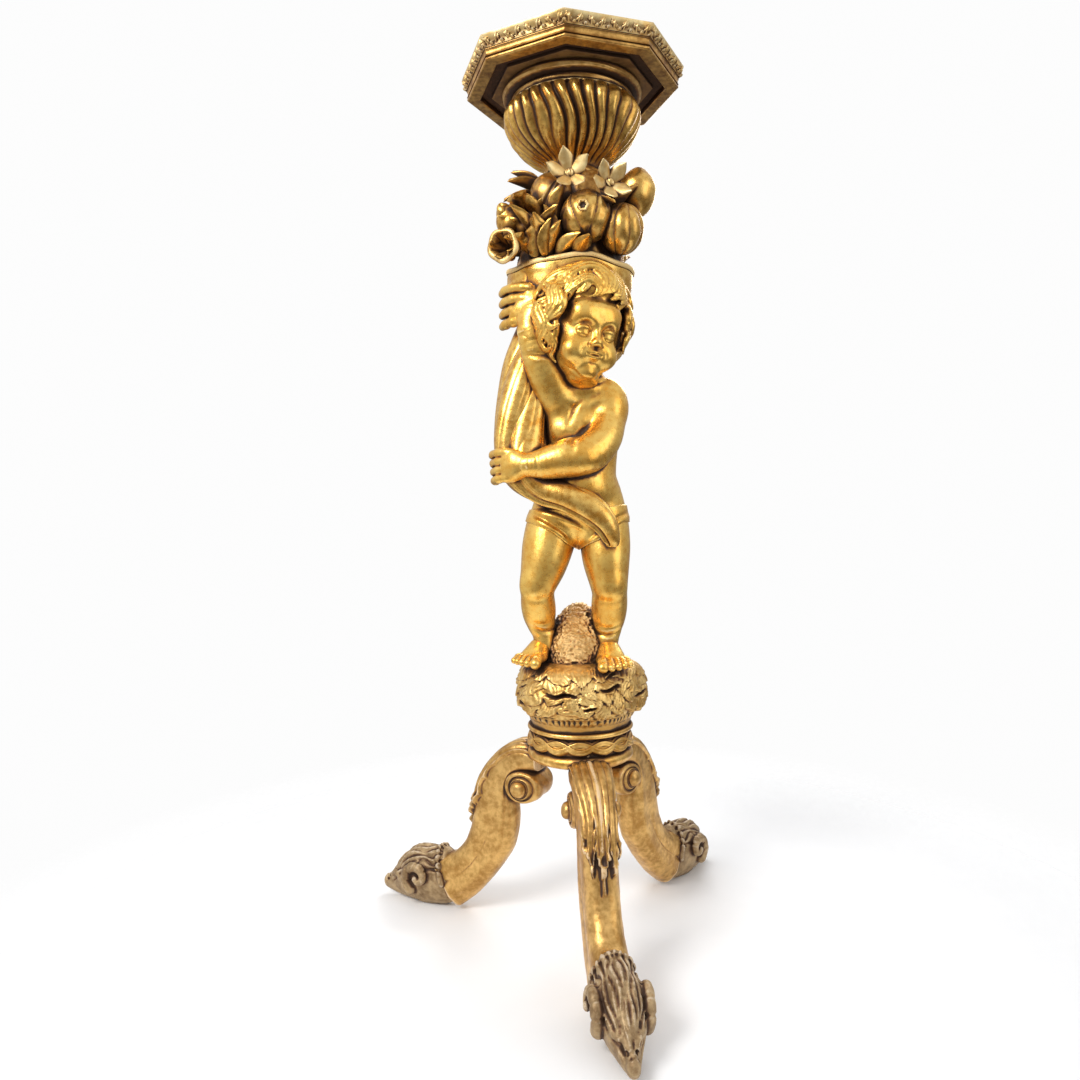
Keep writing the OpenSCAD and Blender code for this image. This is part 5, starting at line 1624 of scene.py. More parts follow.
@dataclass
class Horn:
    """The horn of plenty: a smooth flaring cup, twisting grooves, and a tail that curls forward.

    Attributes:
        rim: Height of its rim.
        grooves: How many grooves run along it.
    """

    rim: float
    grooves: int = 5

    def path(self) -> list[tuple[float, float, float, float, float]]:
        """Knots down the horn from its rim."""
        rows = (
            (-5, 5, 0, 87, 68), (-6, 5, -10, 87.5, 68.5), (-8, 5, -24, 86, 67), (-13, 4, -58, 80, 62),
            (-28, 0, -92, 59, 51), (-47, -5, -118, 46, 44), (-61, -12, -145, 40, 41),
            (-70, -20, -180, 38, 39),
            (-75, -28, -215, 37, 37), (-75, -34, -248, 37, 36), (-67, -42, -278, 33, 33),
            (-46, -52, -302, 22, 21),
            (-14, -60, -313, 20, 19), (16, -64, -329, 20, 17), (36, -65, -349, 17, 15),
            (45, -63, -370, 12, 11), (46, -61, -380, 7.5, 7))
        return [(x, y, z + self.rim, a, b) for x, y, z, a, b in rows]

    def relief(self, share: np.ndarray, angle: np.ndarray) -> np.ndarray:
        """Height of the carving along the horn.

        Args:
            share: Share of the way down from the rim.
            angle: Angle round the horn.

        Returns:
            How far each point stands out.
        """
        drift = (angle - 2.3 * share + 0.22 * np.sin(share * 11 + 2 * angle)
                 + 0.12 * np.sin(3 * angle + share * 6))
        fold = np.abs(np.sin(self.grooves * 0.5 * drift + 0.4)) ** 0.8 - 0.68
        minor = np.abs(np.sin(self.grooves * 1.5 * drift + 0.9 * np.sin(share * 14))) ** 0.6 - 0.75
        body = ease(share, 0.12, 0.36) * (1 - ease(share, 0.60, 0.72))
        cup = ease(share, 0.03, 0.10) * (1 - ease(share, 0.14, 0.34))
        petal = cup * (np.abs(np.sin(self.grooves * angle + 9 * share)) ** 0.5 - 0.8)
        tail = ease(share, 0.58, 0.70) * (1 - ease(share, 0.965, 0.99))
        lines = sum(height * hump(wrapped(angle - place + 0.25 * np.sin(share * 14)), wide)
                    for place, wide, height in ((5.45, 0.13, -4.2), (5.80, 0.12, 1.6), (6.10, 0.12, -3.2),
                                                (3.35, 0.14, -3.0), (0.9, 0.14, -2.6), (2.0, 0.14, -2.6)))
        return fold * 6.4 * body + minor * 1.3 * body + petal * 2.2 + lines * tail

    def shell(self) -> Shell:
        """Shape the horn, its wavy lip and the hollow of its mouth."""
        knots = smoothed(self.path(), 14)
        sides = 240
        outer = rings_along(knots, sides, self.relief)
        a = around(sides)
        fade = ease(np.arange(len(outer)), 44, 0)[:, None]
        level = outer[0, :, 2] - outer[0, :, 2].mean()
        wave = 4.5 * hump(a - 4.6, 0.75) + 2.2 * np.sin(3 * a + 0.6) + 1.3 * np.sin(7 * a + 2.0) - 1.5
        outer[:, :, 2] += fade * (wave - level * 0.9)
        down = unit(np.gradient(knots[:, :3], axis=0))[0]
        centre, rim = knots[0, :3], outer[0]
        lip = [rim + (rim - centre) * s + (-down) * up for s, up in (
            (0.008, -5.5), (0.024, -3.6), (0.032, -1.2), (0.026, 1.2), (0.006, 2.6), (-0.024, 1.9),
            (-0.045, -1.5))]
        inner = [centre + (rim - centre) * s + down * deep for s, deep in (
            (0.93, 10), (0.90, 20), (0.82, 28), (0.6, 34), (0.3, 37))]
        rings = np.array(inner[::-1] + lip[::-1] + list(outer[6:]))
        rings[-1] += (rings[-20].mean(0) - rings[-1].mean(0)) * 0.12
        return skin(rings)

    def carve(self, bench: Bench) -> None:
        """Carve the horn onto the bench."""
        bench.keep("horn_of_plenty", self.shell(), Finish.HORN, "horn")


@dataclass
class Rock:
    """The rock: an overhanging mass of turf with slit ledges over a fringe and a neck.

    Attributes:
        foot: Height of the drum's top.
        sole: Height of the soles.
        radius: Half width of the turf.
    """

    foot: float
    sole: float
    radius: float = 87.0

    def shell(self) -> Shell:
        """Shape the rock."""
        rows, sides = ((160, 350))
        height = self.sole - self.foot
        profile = ((0, 0.80), (4, 0.815), (10, 0.83), (17, 0.85), (21, 0.87), (25, 0.95), (31, 0.985),
                   (40, 1.0),
                   (52, 1.0), (64, 0.985), (76, 0.955), (86, 0.89), (94, 0.76), (98.5, 0.56), (100, 0.3))
        run = smoothed([(r, 0.0, z) for z, r in profile], 16)
        ways = np.diff(run * (self.radius, 1, height / 100), axis=0)
        length = np.concatenate([[0], np.cumsum(np.linalg.norm(ways, axis=1))])
        at = np.linspace(0, length[-1], rows)
        r, z = np.interp(at, length, run[:, 0]), np.interp(at, length, run[:, 2]) / 100
        u, share = around(sides)[None, :], z[:, None]
        swell = (1 + 0.03 * np.sin(3 * u + 0.7) + 0.018 * np.sin(5 * u + share * 3)
                 + 0.012 * np.sin(11 * u - share * 6))
        rad = self.radius * r[:, None] * np.where(share < 0.23, 1 + (swell - 1) * 0.5, swell)
        base = spread(rad * np.cos(u), rad * np.sin(u), self.foot + height * share)
        out = spread(np.cos(u), np.sin(u), ease(share, 0.8, 1.0) * 0.8)
        return skin(base + unit(out) * self.tufts(u, share, base)[..., None])

    def tufts(self, u: np.ndarray, share: np.ndarray, base: np.ndarray) -> np.ndarray:
        """Height of the turf: tufts in overlapping rows, strands in each tuft, and slit ledges.

        Args:
            u: Angle of each point.
            share: Share of the height.
            base: Its place.

        Returns:
            How far each point stands out.
        """
        flow = (u + 0.10 * np.sin(3 * u + share * 5 + 1) + 0.06 * np.sin(7 * u - share * 11)
                + 0.03 * np.sin(13 * u + share * 19))
        total = np.zeros(np.broadcast_shapes(u.shape, share.shape))
        for row, (low, high, count) in enumerate(
                ((0.235, 0.50, 17), (0.39, 0.68, 21), (0.55, 0.84, 19), (0.72, 1.0, 15))):
            lane = flow * count / (2 * math.pi) + 0.37 * row
            off = lane - np.floor(lane) - 0.5
            ragged = 0.03 * np.sin(np.floor(lane) * 2.3 + row) + 0.012 * np.abs(np.sin(off * 15))
            edge = low + 0.10 * (np.abs(off) * 2) ** 1.6 + ragged
            rise = np.clip((share - edge) / (high - edge), 0, 1)
            waver = 0.35 * np.sin(rise * 4 + lane)
            strands = np.abs(np.cos(math.pi * (off * (4.2 + 1.6 * rise) + waver))) ** 0.7
            saw = ease(share, edge, edge + 0.03) * (1 - rise) ** 0.6
            total = np.maximum(total, saw * (3.0 + 1.6 * np.cos(math.pi * off) + strands * 2.4))
        fringe = ease(share, 0.10, 0.16) * (1 - ease(share, 0.24, 0.27))
        total = total + fringe * np.abs(np.sin(u * 27 + 1.2 * np.sin(u * 7))) ** 0.6 * 2.6
        for angle, high, width, tall in (
                (-1.86, 0.60, 0.22, 0.022), (-1.06, 0.68, 0.18, 0.022), (-1.42, 0.42, 0.08, 0.014),
                (0.6, 0.46, 0.2, 0.026), (1.9, 0.42, 0.2, 0.026), (2.9, 0.56, 0.2, 0.026),
                (-2.7, 0.40, 0.17, 0.024), (-0.3, 0.52, 0.14, 0.022)):
            away = wrapped(u - angle)
            off = share - (high + 0.02 * np.sin(away * 14))
            slit = hump(away, width, 4) * hump(off, tall)
            brow = hump(away, width * 1.2, 4) * hump(off - tall * 2.1, tall * 1.3)
            total = total * (1 - 0.5 * slit) - slit * 8 + brow * 2.8
        grit = mottle(base, 9, 3) * 0.7 + mottle(base, 3.2, 4) * 0.3
        return total * (1 - ease(share, 0.93, 0.985)) + ease(share, 0.2, 0.3) * grit

    def carve(self, bench: Bench) -> None:
        """Carve the rock onto the bench."""
        bench.keep("turf_rock", self.shell(), Finish.ROCK, "rock")


@dataclass
class Stump:
    """The stippled stump behind the legs.

    Attributes:
        sole: Height of the soles.
        height: Height of the stump.
        grain: Grain of its block.
    """

    sole: float
    height: float = 64.0
    grain: float = 1.15

    def shell(self) -> Shell:
        """Shape the stump and its broken branch."""
        h, s = self.height, self.sole
        clay = Clay((-62, -62, s - 12), (58, 72, s + h + 8), self.grain)
        clay.add(limb([
            (-3, 3, s - 6, 48, 54), (-3, 5, s + h * 0.1, 46, 50), (-2, 11, s + h * 0.32, 42, 43),
            (-1, 19, s + h * 0.6, 33, 31), (1, 25, s + h * 0.84, 22, 20), (3, 28, s + h * 0.97, 12, 11)]), 3)
        clay.add(limb([(8, 8, s + 34, 9, 9), (12, -2, s + 48, 8.5, 8.5), (14, -7, s + 57, 8, 8)]), 5)
        clay.cut(egg((14.5, -11, s + 61), (5, 5, 4.5)), 1.5)
        clay.stroke([(-12, -20, s + 2, 0.4), (-8, -10, s + 24), (-2, 0, s + 46, 0.4)], 2.6, 4)
        clay.stroke([(9, -26, s + 2, 0.4), (6, -12, s + 20), (2, -2, s + 34, 0.4)], 2.6, 4)
        return clay.shell(1).roughened((2.8, 8, 1.5), (5, 10, 0.6), (11, 9, 0.9))

    def carve(self, bench: Bench) -> None:
        """Carve the stump onto the bench."""
        bench.keep("stippled_stump", self.shell(), Finish.STUMP, "stump")


# ---------- Turned and swept forms ----------

HALF_SIDE = math.radians(22.5)  # half the angle that one side of an octagon fills


def turned_piece(profile: Knots, sides: int, relief: Relief | None = None) -> Shell:
    """Turn a piece on the column's axis.

    Args:
        profile: Radius and height, from the foot up.
        sides: Points round each ring.
        relief: Height of carving by angle and height.

    Returns:
        The closed piece.
    """
    r, z = np.asarray(profile, float)[:, :, None].transpose(1, 0, 2)
    a = around(sides)
    if relief:
        r = r + relief(a, z)
    return skin(spread(r * np.cos(a), r * np.sin(a), z))


def arc(centre: tuple[float, float], radius: float, start: float, end: float,
        count: int = 14) -> list[tuple[float, float]]:
    """Points of a circular arc, in degrees."""
    return [(centre[0] + radius * math.cos(math.radians(t)), centre[1] + radius * math.sin(math.radians(t)))
            for t in np.linspace(start, end, count)]


def octagon_sweep(profile: Knots, facing: float, per_side: int = 6) -> Shell:
    """Sweep a closed profile round an octagon, mitred at its corners.

    Args:
        profile: Distance from the axis to a side, and height.
        facing: Direction of the first corner, in degrees.
        per_side: Rings along each side.

    Returns:
        The closed ring.
    """
    p = np.asarray(profile, float)
    rings = []
    for i in range(8):
        a, b = (math.radians(facing + 45 * k) for k in (i, i + 1))
        for t in (j / per_side for j in range(per_side)):
            way = np.array([math.cos(a) * (1 - t) + math.cos(b) * t, math.sin(a) * (1 - t) + math.sin(b) * t])
            rings.append(np.column_stack([np.outer(p[:, 0], way / math.cos(HALF_SIDE)), p[:, 1]]))
    index = np.arange(len(rings) * len(p)).reshape(len(rings), len(p))
    ahead, after = np.roll(index, -1, axis=0), np.roll(index, -1, axis=1)
    quads = np.stack([index, after, np.roll(ahead, -1, axis=1), ahead], -1).reshape(-1, 4)
    return Shell(np.vstack(rings), quads).outward()


def octagon_plate(out: float, low: float, high: float, facing: float, bevel: float = 0.8) -> Shell:
    """An octagonal plate with eased edges.

    Args:
        out: Distance from the axis to a side.
        low: Height of its underside.
        high: Height of its top.
        facing: Direction of the first corner, in degrees.
        bevel: How far its edges are eased.

    Returns:
        The closed plate.
    """
    a = np.radians(facing + 45 * np.arange(8))
    rings = []
    for d, z in ((out - bevel, low), (out, low + bevel), (out, high - bevel), (out - bevel, high)):
        r = d / math.cos(HALF_SIDE)
        rings.append(spread(r * np.cos(a), r * np.sin(a), z))
    return skin(np.array(rings))


# ---------- Tripod ----------


@dataclass
class ScrollLeg:
    """One scroll leg with its knee leaf, volute and whorl foot, along +X before it is turned.

    Attributes:
        name: Name of its side of the stand.
        turn: Its direction from the front, in degrees.
        drum_z: Height of the drum's underside.
        drum_r: Radius of the drum.
        spread: Distance from the axis to the tip of the foot.
        width: Width at the knee.
        grain: Grain of the foot's block.
    """

    name: str
    turn: float
    drum_z: float
    drum_r: float
    spread: float = 331.0
    width: float = 47
    grain: float = 1.45

    def side(self, r: float, z: float) -> tuple[float, float]:
        """Place on the side view by percent of the reach and of the height."""
        return self.drum_r + (self.spread - self.drum_r) * r / 100, self.drum_z * z / 100

    def leg(self) -> Shell:
        """Shape the leg, with the leaf on its knee and the rib along its edges."""
        stations = (
            (-6, 103, -6, 90, 1.12), (5, 104.5, 4, 88, 1.14), (14, 101, 9, 84, 1.1),
            (22.5, 93.5, 11, 77, 1.04),
            (29.5, 84, 10.5, 70, 1), (33.5, 73, 9.5, 62, 1), (36, 62, 10, 52, 1), (38.7, 51, 13, 41, 1),
            (43.3, 41.5, 19, 31, 1), (50.3, 34, 27, 20.5, 1.02), (57, 31.5, 36, 10.5, 1.04),
            (64, 29, 46, 2, 1.02))
        rows = [(*self.side(a, b), *self.side(c, d), wide * self.width / 2) for a, b, c, d, wide in stations]
        run = smoothed(rows, 18)
        a = around(170)
        c, w = (np.abs(f(a)) ** 0.7 * np.sign(f(a)) for f in (np.cos, np.sin))
        w = -w
        mid, out = (run[:, :2] + run[:, 2:4]) / 2, (run[:, :2] - run[:, 2:4]) / 2
        way = unit(out)
        base = spread(mid[:, :1] + out[:, :1] * c, run[:, 4:] * w, mid[:, 1:] + out[:, 1:] * c)
        normal = unit(spread(way[:, :1] * c, w, way[:, 1:] * c))
        share = np.linspace(0, 1, len(run))[:, None]
        lift = self.leaf(share, w[None, :], c[None, :]) + self.rib(share, w[None, :], c[None, :])
        lift = lift + mottle(base, 14, 6) * 0.5 + mottle(base, 5, 7) * 0.2
        return skin(base + normal * lift[..., None])

    @staticmethod
    def leaf(share: np.ndarray, w: np.ndarray, c: np.ndarray) -> np.ndarray:
        """Height of the acanthus leaf over the knee, with its ragged tips.

        Args:
            share: Share of the way down the leg.
            w: Place across the leg, from -1 to 1.
            c: Place from its inner face, -1, to its outer face, 1.

        Returns:
            How far each point stands out.
        """
        lobes = 0.48 + 0.14 * hump(w, 0.17) + 0.075 * hump(np.abs(w) - 0.50, 0.12)
        lobes = lobes + 0.014 * np.sin(w * 26 + 1) + 0.008 * np.sin(w * 47) + 0.012 * w
        edge = 0.90 - 0.10 * np.abs(np.sin(share * 34 + w)) * ease(share, 0.2, 0.32)
        inside = ease(lobes - share, -0.003, 0.012) * ease(c, -0.12, 0.12) * ease(edge - np.abs(w), -0.03,
            0.03)
        fan = w * (1 + 0.35 * share) + 0.05 * np.sin(share * 16 + 2 * w)
        veins = np.abs(np.cos(fan * math.pi * 3.0)) ** 0.8
        curl = hump(lobes - share - 0.018, 0.022) * 3.0
        eyes = sum(np.exp(-(((w - p) / 0.055) ** 2 + ((share - lobes + q) / 0.016) ** 2)) for p, q in (
            (-0.74, 0.05), (-0.32, 0.035), (-0.30, 0.10), (0.32, 0.035), (0.34, 0.10), (0.74, 0.05),
            (0, 0.13)))
        return inside * (3.6 + veins * 2.2 + curl * 1.2 - eyes * 5.0)

    @staticmethod
    def rib(share: np.ndarray, w: np.ndarray, c: np.ndarray) -> np.ndarray:
        """Height of the rib that follows each lower edge, by the same measures.

        Args:
            share: Share of the way down the leg.
            w: Place across the leg.
            c: Place from its inner face to its outer face.

        Returns:
            How far each point stands out.
        """
        band = hump(np.abs(w) - 0.96, 0.06) * hump(c + 0.42, 0.26)
        groove = hump(c - 0.05, 0.10) * ease(np.abs(w), 0.8, 0.95)
        return band * 2.2 * ease(share, 0.1, 0.3) - groove * ease(share, 0.5, 0.65)

    def volute(self) -> Shell:
        """Shape the scroll under the knee, with two ribs and an eye on each side."""
        x, z = self.side(3.5, 81)
        half = (
            (0, 26.5), (14, 26.5), (22, 26), (26, 24.8), (28.2, 22.6), (28.6, 20), (27.4, 18), (26.8, 16.8),
            (28.8, 15.6), (30, 14.4), (29.6, 12.8), (30.4, 11.6), (33.5, 11.2), (36.6, 9.6), (38.8, 6.6),
            (39.8, 3.2), (40, 0.4))
        run = smoothed([(r, 0.0, y) for y, r in half], 3)
        profile = np.vstack([run[::-1] * (1, 1, -1), run[1:]])
        r, y = profile[:, :1], profile[:, 2:]
        a = around(96)
        body = ease(r, 12, 24)
        long = 1 + 0.10 * body
        inner = ease(r, 25.5, 12) * ease(r, 0, 9)
        coil = r * (1 + 0.13 * inner * np.sin(a * np.sign(y) + 1.2 + r * 0.16))
        coil = coil + 0.5 * np.sin(3 * a + y * 0.2) * ease(r, 4, 20)
        return skin(spread(x - 3 * body + coil * long * np.cos(a), y, z + coil * (2 - long) * np.sin(a)))

    def foot(self) -> Shell:
        """Shape the whorl foot: a ridged hood with a rolled edge, snail-like side scrolls and a beak."""
        clay = Clay((188, -50, -1), (self.spread + 2, 50, 94), self.grain)
        stations = ((53, 20, 14, 20), (58, 18.6, 17.6, 26), (65, 17.4, 18.2, 27.5), (73, 16.4, 18.0, 27),
                    (80.5, 13.6, 14.2, 24), (88, 10.4, 10.2, 16.5), (94.5, 8.2, 6.6, 10.5),
                    (98, 7.0, 4.2, 7.6))
        knots = [(x, 0, h, wide, deep / 100 * self.drum_z)
                 for r, z, deep, wide in stations for x, h in [self.side(r, z)]]
        clay.add(limb(knots, (0, 0, 1), 4), 2)
        run = smoothed(knots, 3)
        way = unit(np.gradient(run[:, :3], axis=0))
        up = np.stack([-way[:, 2], way[:, 1], way[:, 0]], -1)

        def over(i: int, t: float, lift: float) -> np.ndarray:
            """A place on the hood by its station, angle from the top, and height over it."""
            c, wide, deep = run[i, :3], run[i, 3] + lift, run[i, 4] + lift
            return c + up[i] * deep * math.cos(t) + np.array([0, 1, 0]) * wide * math.sin(t)

        roll = [(*over(2, t, 1.2 + 0.8 * math.sin(9 * t)), 4.6) for t in np.linspace(-1.75, 1.75, 15)]
        clay.add(limb(roll, (1, 0, 0), 2), 2)
        for t in np.linspace(-1.25, 1.25, 10):
            path = [(*over(i, t + 0.10 * math.sin(i * 0.9 + 5 * t), 0), share) for i, share in
                    zip(range(1, 20, 3), (0.8, 1, 1, 1, 1, 0.8, 0.4))]
            clay.stroke(path, 3.6, 2.3, over(8, t, 0) - run[8, :3], 9)
        for m in (-1, 1):
            self.snail(clay, m)
            x, z = self.side(90, 12.5)
            clay.cut(egg((x + 13, m * 5.0, z - 1), (3.6, 2.0, 2.4)), 1.5)
            clay.add(limb([(x - 17, m * 18, z + 3, 4.2), (x - 6, m * 15, z + 8, 4.2),
                           (x + 3, m * 10.5, z + 8.5, 3)],
                          (0, 0, 1), 3), 3)
        clay.field = np.maximum(clay.field, 0.1 - clay.grid()[2])
        return clay.shell(1)

    def snail(self, clay: Clay, m: int) -> None:
        """Carve the snail-like scroll on one side of the foot.

        Args:
            clay: The foot's block.
            m: The side, -1 or 1.
        """
        x, z = self.side(70, 18.5)
        spiral = [(x + (26 - 5.4 * t) * math.cos(-0.9 + 1.3 * t), m * (27 + 2.3 * t),
                   z + (25 - 5.2 * t) * math.sin(-0.9 + 1.3 * t), 9.2 - 1.15 * t) for t in np.linspace(0, 4.1,
                       13)]
        clay.add(egg((x, m * 19, z), (25, 11, 24)), 4)
        clay.add(limb(spiral, (0, 1, 0), 3), 1.6)
        clay.add(egg((x + 1, m * 36, z), (5.2, 5.4, 5.2)), 1)
        for t in (-0.5, 0.3, 1.2, 2.2):
            clay.stroke([(x + q * math.cos(t + (q - 12) * 0.03), m * 36,
                          z + q * math.sin(t + (q - 12) * 0.03), 1)
                         for q in (15, 22, 29)], 1.6, 1.7, (0, 1, 0), 14)

    def carve(self, bench: Bench) -> None:
        """Carve the leg, its volute and its foot onto the bench.

        Args:
            bench: Where the pieces go.
        """
        for name, shell, finish, *nodes in (
                ("scroll_leg", self.leg(), Finish.WORN, "leg", "knee_leaf"),
                ("volute", self.volute(), Finish.WORN, "leg"),
                ("whorl_foot", self.foot(), Finish.RUBBED, "foot")):
            bench.keep(f"{self.name}_{name}", shell.moved(turned(z=self.turn - 90)), finish,
                       *[f"{self.name}_{node}" for node in nodes])


# ---------- Drum ----------


@dataclass
class Drum:
    """The turned drum and its plaited band.

    Attributes:
        low: Height of its underside.
        high: Height of its top.
        radius: Radius over its beads.
        braid: Heights of the foot and the top of the plaited band.
        crossings: How often the strands cross.
    """

    low: float
    high: float
    radius: float
    braid: tuple[float, float]
    crossings: int = 14

    def turned_drum(self) -> Shell:
        """Turn the drum with its beads."""
        r, (foot, top) = self.radius, self.braid
        bead, small = (foot - self.low) / 2, (self.high - top) / 2
        profile = [(3, self.low), (r - bead * 1.6, self.low),
                   *arc((r - bead, self.low + bead), bead, -80, 80),
                   (r - 8, foot + 0.2), (r - 8.2, foot + 2), (r - 8.2, top - 2), (r - 8, top - 0.2),
                   *arc((r - small, top + small), small, -80, 80), (r - 6, self.high), (3, self.high)]
        return turned_piece(profile, 200, lambda a, z: 0.35 * np.sin(3 * a + 0.3 * z) - 0.35)

    def strand_unit(self) -> Shell:
        """Shape one repeat of the two crossing strands."""
        mid, half = sum(self.braid) / 2, (self.braid[1] - self.braid[0]) / 2
        t = np.linspace(-0.02, 1.02, 34)
        phase = t * 2 * math.pi
        a = t * (4 * math.pi / self.crossings)
        out = np.column_stack([np.cos(a), np.sin(a), np.zeros_like(a)])
        b = around(28)
        rib = 1 + 0.16 * np.cos(6 * b)
        shells = []
        for m in (-1, 1):
            reach = self.radius - 5.8 + 1.9 * m * np.cos(phase + math.pi / 2)
            path = np.column_stack([reach * np.cos(a), reach * np.sin(a),
                                    mid + m * half * 0.40 * np.sin(phase)])
            across = unit(np.cross(out, unit(np.gradient(path, axis=0))))
            shells.append(skin(path[:, None] + across[:, None] * (half * 0.44 * np.cos(b) * rib)[:, None]
                               + out[:, None] * (4.6 * np.sin(b) * rib)[:, None]))
        return shells[0].with_(shells[1])

    def carve(self, bench: Bench) -> None:
        """Carve the drum and lay out its plaited band."""
        bench.keep("turned_drum", self.turned_drum(), Finish.DRUM, "drum", crisp=50)
        repeats = self.crossings // 2
        row = Row(count=repeats, turn=360 / repeats, uneven=0.004, seed=5)
        bench.keep("plaited_strands", row.laid(self.strand_unit(), bench.material(Finish.DRUM)), Finish.DRUM,
                   "braid_band")


# ---------- Fruit, flowers and leaves ----------


def placed(turn: float, lift: float, roll: float = 0) -> np.ndarray:
    """Basis of something along +X that is rolled, lifted, and turned about the column."""
    return turned(0, 0, turn) @ turned(0, -lift, 0) @ turned(roll, 0, 0)


def ball(radii: Sequence[float], relief: Relief, fine: int = 96) -> Shell:
    """A round fruit about its upright core.

    Args:
        radii: Three half sizes.
        relief: Height of carving by angle and by angle down from the top.
        fine: Points round it.

    Returns:
        The closed fruit.
    """
    down = np.linspace(0.02, math.pi - 0.02, fine * 2 // 3)[:, None]
    a = around(fine)[None, :]
    way = spread(np.sin(down) * np.cos(a), np.sin(down) * np.sin(a), np.cos(down))
    return skin(way * np.asarray(radii) + way * relief(a, down)[..., None])


def pit(down: np.ndarray, at: float, r: float, deep: float) -> np.ndarray:
    """A dimple in a fruit, at an angle down from its top."""
    return -deep * hump(down - at, r)


def seam(a: np.ndarray, at: float | np.ndarray, wide: float = 0.08) -> np.ndarray:
    """A seam down a fruit at one angle."""
    return -1.8 * hump(wrapped(a - at), wide)


@dataclass(frozen=True)
class Leaf:
    """A carved leaf or petal along +X, curled, veined and thick.

    Attributes:
        length: Its length.
        width: Its width.
        thick: Its thickness.
        droop: How far its tip sinks, as a share of its length.
        cup: How far its edges rise, as a share of its width.
        blunt: Zero for a point, one for a round end.
        veins: How deep its veins are.
        lobes: How many notches each edge has.
    """

    length: float = 50
    width: float = 24
    thick: float = 3.2
    droop: float = 0.2
    cup: float = 0.25
    blunt: float = 0.0
    veins: float = 0.9
    lobes: int = 0

    def shell(self) -> Shell:
        """Shape the leaf as a closed skin of two faces."""
        u = np.linspace(0, 1, 32)[:, None]
        v = np.linspace(-1, 1, 19)[None, :]
        belly = np.sin(math.pi * (0.1 + 0.88 * u)) ** (0.9 - 0.45 * self.blunt)
        tip = 1 - np.clip((u - 0.72) / 0.28, 0, 1) ** 2 * (1 - self.blunt) * 0.6
        half = self.width / 2 * belly * tip
        if self.lobes:
            half = half * (1 - 0.22 * np.abs(np.sin(u * math.pi * self.lobes)) ** 2 * ease(u, 0.08, 0.2))
        x = self.length * (u + 0.02 * (1 - v * v))
        rise = self.cup * self.width * v * v * (0.4 + 0.6 * np.sin(math.pi * u))
        z = -self.droop * self.length * u**2 + rise
        ribs = np.abs(np.sin((u * 9 - np.abs(v) * 2.2) * math.pi)) ** 0.7
        relief = self.veins * (0.55 * ribs * (np.abs(v) > 0.1) - 0.9 * hump(v, 0.12) * (1 - u)) * (1 - v**6)
        body = self.thick / 2 * (1 - 0.75 * np.abs(v) ** 3) * (1 - 0.6 * u**3)
        faces = spread(x, half * v, z + body + relief), spread(x, half * v, z - body)[:, ::-1]
        return skin(np.concatenate(faces, axis=1))


